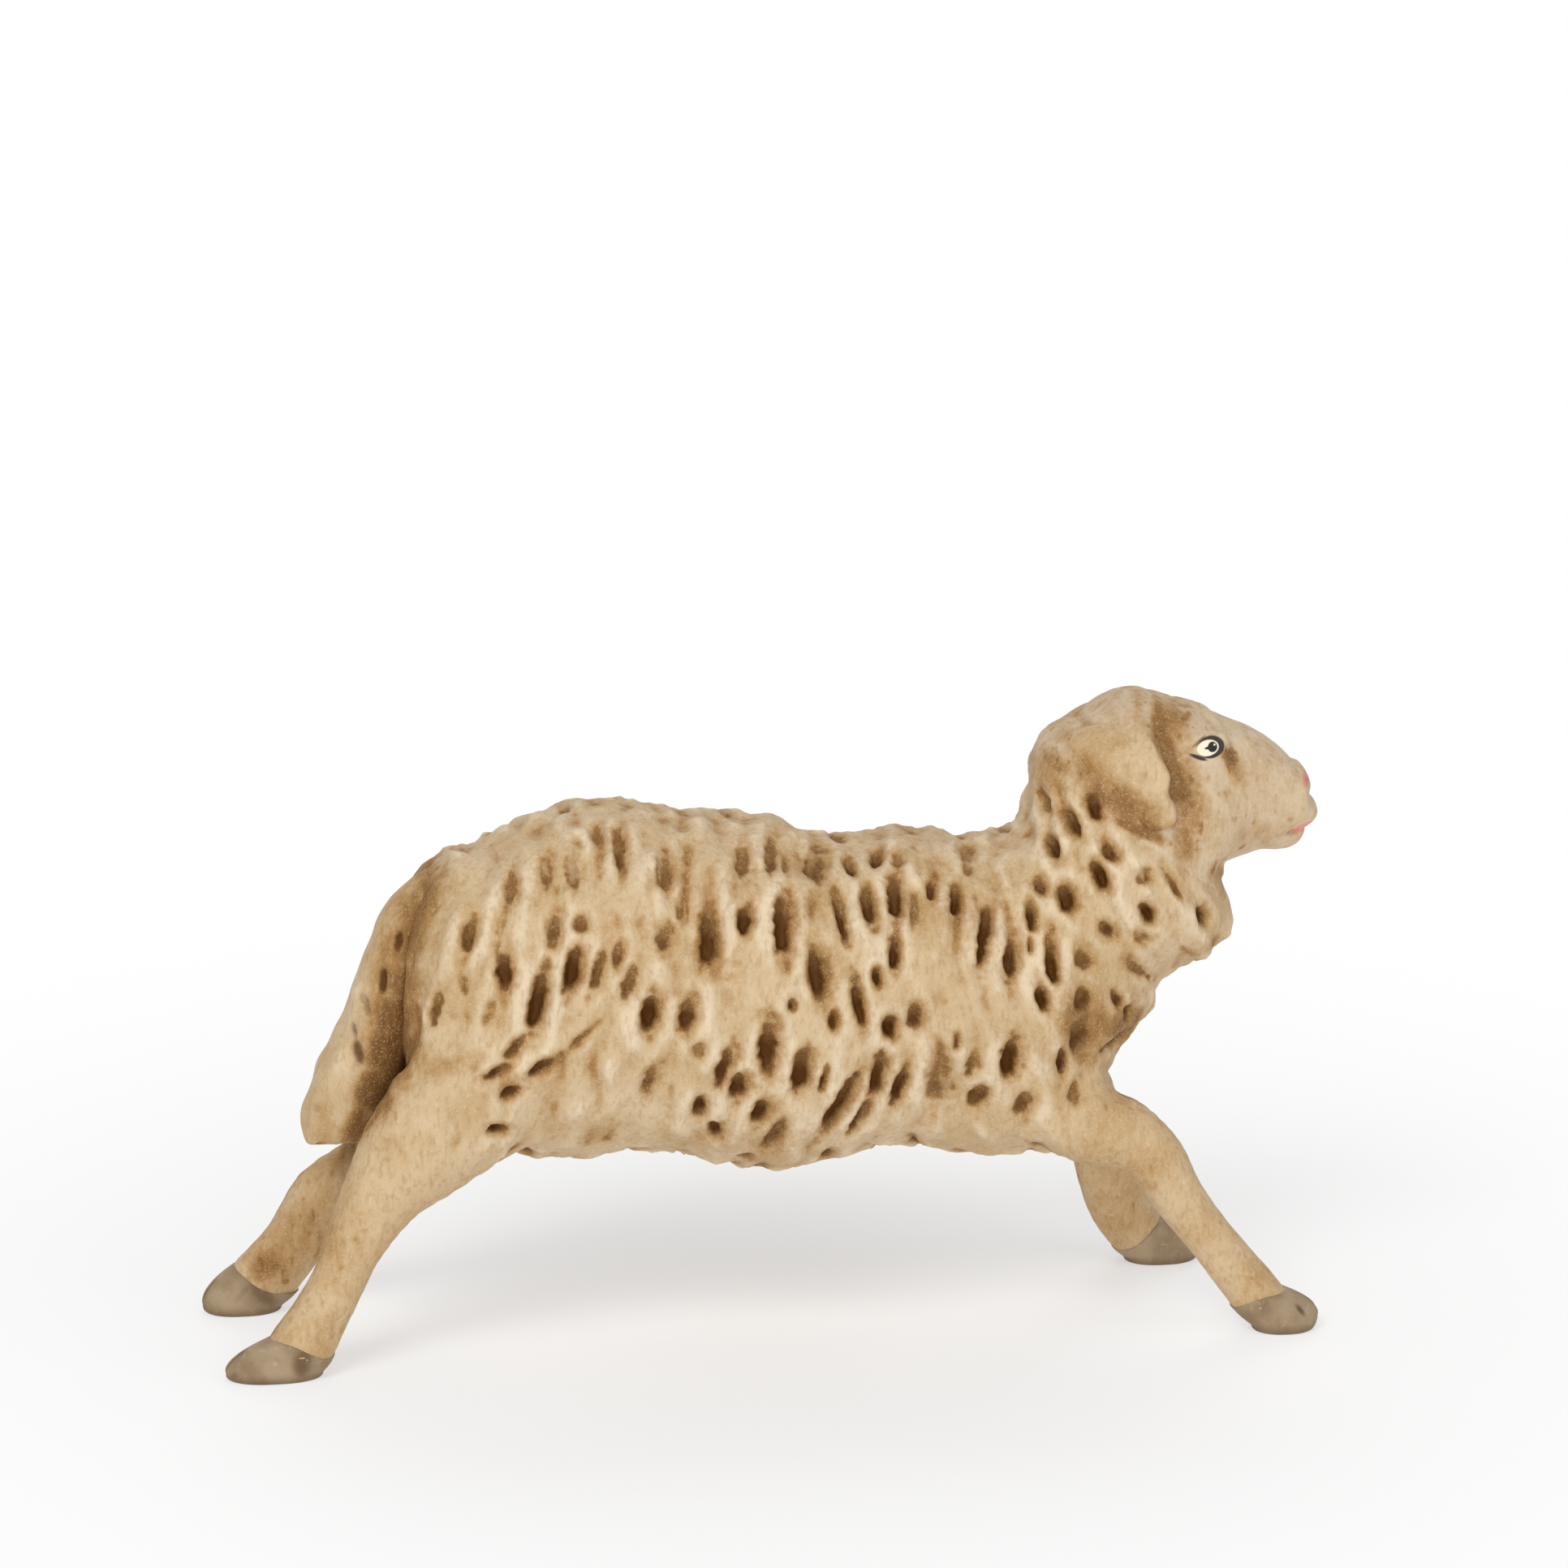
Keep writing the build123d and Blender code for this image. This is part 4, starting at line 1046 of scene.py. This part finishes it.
class Paint:
    def __init__(self, name):
        self.material = bpy.data.materials.new(name)
        self.material.use_nodes = True
        self.tree = self.material.node_tree
        self.surface = self.tree.nodes["Principled BSDF"]
        self.place = self.node("ShaderNodeTexCoord").outputs["Object"]

    def node(self, kind, **settings):
        made = self.tree.nodes.new(kind)
        for key, value in settings.items():
            setattr(made, key, value)
        return made

    def feed(self, socket, value):
        if isinstance(value, bpy.types.NodeSocket):
            self.tree.links.new(value, socket)
        else:
            socket.default_value = value

    def maths(self, operation, *values, clamp=False):
        made = self.node("ShaderNodeMath", operation=operation, use_clamp=clamp)
        for socket, value in zip(made.inputs, values):
            self.feed(socket, value)
        return made.outputs[0]

    def put(self, name, value):
        self.feed(self.surface.inputs[name], value)

    def times(self, value, amount):
        return self.maths("MULTIPLY", value, amount)

    def layer(self, factor, colour, amount=1.0):
        # Lays a colour over the tone so far.
        self.tone = self.mixed(self.times(factor, amount), self.tone, colour)

    def between(self, value, low, high, smooth=True):
        made = self.node("ShaderNodeMapRange", interpolation_type="SMOOTHSTEP" if smooth else "LINEAR")
        self.feed(made.inputs["Value"], value)
        made.inputs["From Min"].default_value = low
        made.inputs["From Max"].default_value = high
        return made.outputs["Result"]

    def mixed(self, factor, first, second):
        made = self.node("ShaderNodeMix", data_type="RGBA")
        self.feed(made.inputs[0], factor)
        self.feed(made.inputs[6], first)
        self.feed(made.inputs[7], second)
        return made.outputs[2]

    def stretched(self, scale):
        made = self.node("ShaderNodeMapping")
        self.feed(made.inputs["Vector"], self.place)
        made.inputs["Scale"].default_value = scale
        return made.outputs["Vector"]

    def noise(self, scale, detail=3.0, vector=None):
        made = self.node("ShaderNodeTexNoise")
        self.feed(made.inputs["Vector"], vector or self.place)
        made.inputs["Scale"].default_value = scale
        made.inputs["Detail"].default_value = detail
        return made.outputs[0]

    def given(self, name):
        return self.node("ShaderNodeAttribute", attribute_name=name).outputs["Fac"]

    def bump(self, height, strength, distance):
        made = self.node("ShaderNodeBump")
        made.inputs["Strength"].default_value = strength
        made.inputs["Distance"].default_value = distance
        self.feed(made.inputs["Height"], height)
        self.put("Normal", made.outputs["Normal"])


# Brown glazes, which also carry painted shade, and a pale colour for the painted highlight on crests.
glazeShadeAndHighlight = {
    "paintedHighlight": shade(217, 199, 170),
    "thin": shade(162, 121, 67),
    "thick": shade(108, 70, 30),
    "streak": shade(152, 114, 66),
    "fleck": shade(218, 198, 166),
    "pit": shade(80, 45, 5),
}


def composition(name, pale, warm, speckle):
    # Cream paint under a brown glaze, darkened as painted shade in the hollows, with a painted highlight on
    # the crests.
    paint = Paint(name)
    patches = paint.noise(170.0)
    specks = paint.noise(2600.0)
    grit = paint.noise(5200.0, 2.0)
    brush = paint.noise(650.0, 5.0, paint.stretched((1.8, 1.8, 0.9)))
    streaks = paint.noise(1100.0, 6.0, paint.stretched((2.0, 2.0, 0.8)))
    rough = paint.maths("SUBTRACT", paint.maths("ADD", brush, paint.times(specks, 0.7)), 0.85)
    glazeAndShade = paint.maths("ADD", paint.given("glazeAndShade"), paint.times(rough, 0.55))
    core = paint.maths("ADD", paint.given("pit"), paint.times(rough, 0.3))
    paint.tone = paint.mixed(paint.between(patches, 0.36, 0.66), pale, warm)
    # Painted highlight on the crests of the relief.
    paint.layer(paint.given("crestHighlight"), glazeShadeAndHighlight["paintedHighlight"], 0.75)
    # Brown glaze, deepened as painted shade in hollows, valleys and grooves.
    paint.layer(paint.between(glazeAndShade, 0.0, 0.85), glazeShadeAndHighlight["thin"], 0.88)
    paint.layer(paint.between(glazeAndShade, 0.5, 1.25), glazeShadeAndHighlight["thick"], 0.9)
    paint.layer(paint.between(streaks, 0.45, 0.78), glazeShadeAndHighlight["streak"], speckle)
    paint.layer(paint.between(grit, 0.52, 0.72), glazeShadeAndHighlight["fleck"], 0.32)
    paint.layer(paint.between(core, 0.08, 0.85), glazeShadeAndHighlight["pit"], 0.94)
    paint.put("Roughness", paint.between(brush, -0.6, 1.4, smooth=False))
    paint.put("Specular IOR Level", 0.12)
    paint.bump(paint.maths("ADD", brush, paint.times(specks, 0.8)), 0.45, 0.0003)
    return paint


def finishTone(paint):
    paint.put("Base Color", paint.tone)
    return paint.material


fleecePaint = composition("glazed fleece", shade(199, 176, 142), shade(188, 161, 122), 0.4)
fleeceFinish = finishTone(fleecePaint)
skinPaint = composition("glazed legs and ears", shade(199, 175, 140), shade(189, 160, 120), 0.45)
skinFinish = finishTone(skinPaint)

facePaint = composition("painted face", shade(205, 186, 159), shade(197, 176, 145), 0.2)
where = facePaint.node("ShaderNodeSeparateXYZ")
facePaint.feed(where.inputs[0], facePaint.place)
millimetresPerMetre = 1000.0
mx = facePaint.times(where.outputs["X"], millimetresPerMetre)
my = facePaint.maths("ABSOLUTE", facePaint.times(where.outputs["Y"], millimetresPerMetre))
mz = facePaint.times(where.outputs["Z"], millimetresPerMetre)


def blot(centreX, centreZ, halfX, halfZ, turnDegrees, soft):
    # One inside a turned oval in side view, nothing outside.
    c, s = math.cos(math.radians(turnDegrees)), math.sin(math.radians(turnDegrees))
    dx = facePaint.maths("SUBTRACT", mx, centreX + float(frameShift[0]))
    dz = facePaint.maths("SUBTRACT", mz, centreZ)
    u = facePaint.maths("ADD", facePaint.times(dx, c / halfX), facePaint.times(dz, s / halfX))
    v = facePaint.maths("ADD", facePaint.times(dx, -s / halfZ), facePaint.times(dz, c / halfZ))
    r = facePaint.maths("SQRT", facePaint.maths("ADD", facePaint.times(u, u), facePaint.times(v, v)))
    return facePaint.between(r, 1.0 + soft, 1.0 - soft)


lidColour = shade(62, 55, 50)
pupilColour = shade(44, 42, 40)
lashColour = shade(110, 90, 70)
# Each stroke: place from the eye's middle, half sizes, turn, softness, colour and strength.
eye = {
    "x": 44.1,
    "z": 59.5,
    "strokes": [
        (-1.0, 0.65, 0.85, 0.16, 39, 0.4, shade(120, 92, 62), 0.8),
        (0.18, 0.1, 1.4, 1.1, 8, 0.08, lidColour, 1.0),
        (-1.1, -0.85, 0.9, 0.2, -20, 0.3, lidColour, 1.0),
        (-0.16, 0.06, 1.1, 0.78, 14, 0.08, shade(236, 224, 200), 1.0),
        (0.3, 0.17, 0.48, 0.52, 0, 0.1, pupilColour, 1.0),
        (-0.1, 0.1, 0.4, 0.14, 10, 0.25, pupilColour, 1.0),
        (0.5, 0.4, 0.1, 0.1, 0, 0.3, shade(230, 222, 208), 1.0),
        (0.12, 1.62, 0.12, 0.1, 0, 0.4, lashColour, 1.0),
        (0.5, 1.62, 0.12, 0.1, 0, 0.4, lashColour, 1.0),
    ],
}
onSide = facePaint.between(my, 3.6, 4.2)
for dx, dz, halfX, halfZ, turned, soft, colour, amount in eye["strokes"]:
    stroke = blot(eye["x"] + dx, eye["z"] + dz, halfX, halfZ, turned, soft)
    facePaint.layer(facePaint.maths("MULTIPLY", stroke, onSide), colour, amount)
nostril = facePaint.maths("MULTIPLY", blot(54.9, 54.9, 0.65, 0.7, 0, 0.2), facePaint.between(my, 0.9, 1.3))
facePaint.layer(nostril, shade(206, 136, 120), 0.75)
facePaint.layer(blot(54.8, 50.0, 1.35, 0.62, 14, 0.2), shade(216, 138, 126), 0.85)
faceFinish = finishTone(facePaint)

hoofPaint = Paint("grey brown hoof paint")
patches = hoofPaint.noise(300.0)
chips = hoofPaint.noise(1500.0, 2.0)
grey, brown = shade(158, 138, 110), shade(130, 108, 80)
hoofPaint.tone = hoofPaint.mixed(hoofPaint.between(patches, 0.3, 0.7), grey, brown)
hoofPaint.layer(hoofPaint.between(chips, 0.6, 0.75), shade(190, 164, 126), 0.45)
# Darkens the hoof towards the sole, with painted shade in the cleft.
hoofDarkeningFactor = hoofPaint.maths("MULTIPLY", hoofPaint.given("glazeAndShade"), 0.55, clamp=True)
hoofPaint.layer(hoofDarkeningFactor, shade(82, 56, 26))
hoofFinish = finishTone(hoofPaint)
hoofPaint.put("Roughness", hoofPaint.between(patches, -0.8, 1.5, smooth=False))
hoofPaint.put("Specular IOR Level", 0.3)
hoofPaint.bump(hoofPaint.noise(900.0), 0.3, 0.0002)

wirePaint = Paint("drawn steel wire")
drawn = wirePaint.noise(900.0, 2.0, wirePaint.stretched((1.0, 1.0, 0.2)))
wirePaint.put("Base Color", wirePaint.mixed(drawn, shade(172, 168, 160), shade(128, 122, 114)))
wirePaint.put("Metallic", 1.0)
wirePaint.put("Roughness", wirePaint.between(drawn, -0.5, 1.8, smooth=False))

woodPaint = Paint("turned wood peg")
rings = woodPaint.noise(500.0, 3.0, woodPaint.stretched((0.3, 1.5, 1.5)))
woodPaint.put("Base Color", woodPaint.mixed(rings, shade(208, 172, 122), shade(156, 116, 72)))
woodPaint.put("Roughness", 0.7)

finishes = {"head": faceFinish}
for name in ("torso_right_shell", "torso_left_shell", "tail"):
    finishes[name] = fleeceFinish
for name in ("ear_right", "ear_left", *legs):
    finishes[name] = skinFinish
for leg in legs.values():
    finishes[leg["hoof"]["node"]] = hoofFinish
for name, piece in pieces.items():
    piece.data.materials.append(finishes[name])
woodNodes = ("neck_dowel", "tail_pin")
for name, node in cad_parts.items():
    if name not in pieces:
        innerPaint = woodPaint if name in woodNodes else wirePaint
        node.data.materials.clear()
        node.data.materials.append(innerPaint.material)
print("painted")

# A pale floor, a pale room and soft light.
bpy.ops.mesh.primitive_plane_add(size=6.0, location=(0.0, 0.0, 0.0))
floor = bpy.context.object
floor.name = "floor"
floorPaint = Paint("pale floor")
floorPaint.put("Base Color", (0.92, 0.92, 0.92, 1.0))
floorPaint.put("Roughness", 0.95)
floorPaint.put("Specular IOR Level", 0.0)
# The floor fades to plain white away from the figure.
fromMiddle = floorPaint.node("ShaderNodeVectorMath", operation="LENGTH")
floorPaint.feed(fromMiddle.inputs[0], floorPaint.place)
glow = floorPaint.node("ShaderNodeEmission")
away = floorPaint.node("ShaderNodeMixShader")
floorPaint.feed(away.inputs[0], floorPaint.between(fromMiddle.outputs["Value"], -0.08, 0.16))
floorPaint.feed(away.inputs[1], floorPaint.surface.outputs[0])
floorPaint.feed(away.inputs[2], glow.outputs[0])
floorPaint.feed(floorPaint.tree.nodes["Material Output"].inputs["Surface"], away.outputs[0])
floor.data.materials.append(floorPaint.material)

room = {"light": 0.36, "seen": 1.0}
world = bpy.data.worlds.new("pale room")
world.use_nodes = True
bpy.context.scene.world = world
air = world.node_tree
background = air.nodes["Background"]
background.inputs["Color"].default_value = (1.0, 1.0, 1.0, 1.0)
rays = air.nodes.new("ShaderNodeLightPath")
seen = air.nodes.new("ShaderNodeMath")
seen.operation = "MAXIMUM"
air.links.new(rays.outputs["Is Camera Ray"], seen.inputs[0])
air.links.new(rays.outputs["Is Glossy Ray"], seen.inputs[1])
level = air.nodes.new("ShaderNodeMapRange")
air.links.new(seen.outputs[0], level.inputs["Value"])
level.inputs["To Min"].default_value = room["light"]
level.inputs["To Max"].default_value = room["seen"]
air.links.new(level.outputs["Result"], background.inputs["Strength"])

# place, size and power of each lamp
lamps = {
    "key light": ((-0.35, -0.5, 0.7), 0.4, 3.5),
    "fill light": ((0.6, -0.45, 0.4), 0.6, 1.2),
    "low light": ((-0.1, -0.7, 0.06), 0.4, 2.5),
    "back light": ((0.1, 0.6, 0.6), 0.5, 1.6),
}
lampAim = (0.0, 0.0, 0.03)
for name, (place, size, energy) in lamps.items():
    lamp = bpy.data.lights.new(name, "AREA")
    lamp.size = size
    lamp.energy = energy
    light = bpy.data.objects.new(name, lamp)
    light.location = place
    bpy.context.scene.collection.objects.link(light)
    toward = np.array(lampAim) - np.array(place)
    flatRun = math.hypot(toward[0], toward[1])
    light.rotation_euler = (math.atan2(flatRun, -toward[2]), 0.0, math.atan2(-toward[0], toward[1]))

cameraData = bpy.data.cameras.new("photo camera")
cameraData.sensor_width = view["sensor"]
cameraData.lens = view["focalPixels"] * view["sensor"] / view["framePixels"]
cameraData.clip_start = 0.01
camera = bpy.data.objects.new("photo camera", cameraData)
camera.location = (np.array(view["place"]) + frameShift) * millimetre
camera.rotation_euler = (math.radians(90 - view["pitch"]), 0.0, math.radians(view["yaw"]))
bpy.context.scene.collection.objects.link(camera)
bpy.context.scene.camera = camera
bpy.context.scene.view_settings.view_transform = "Standard"

print("stage set")
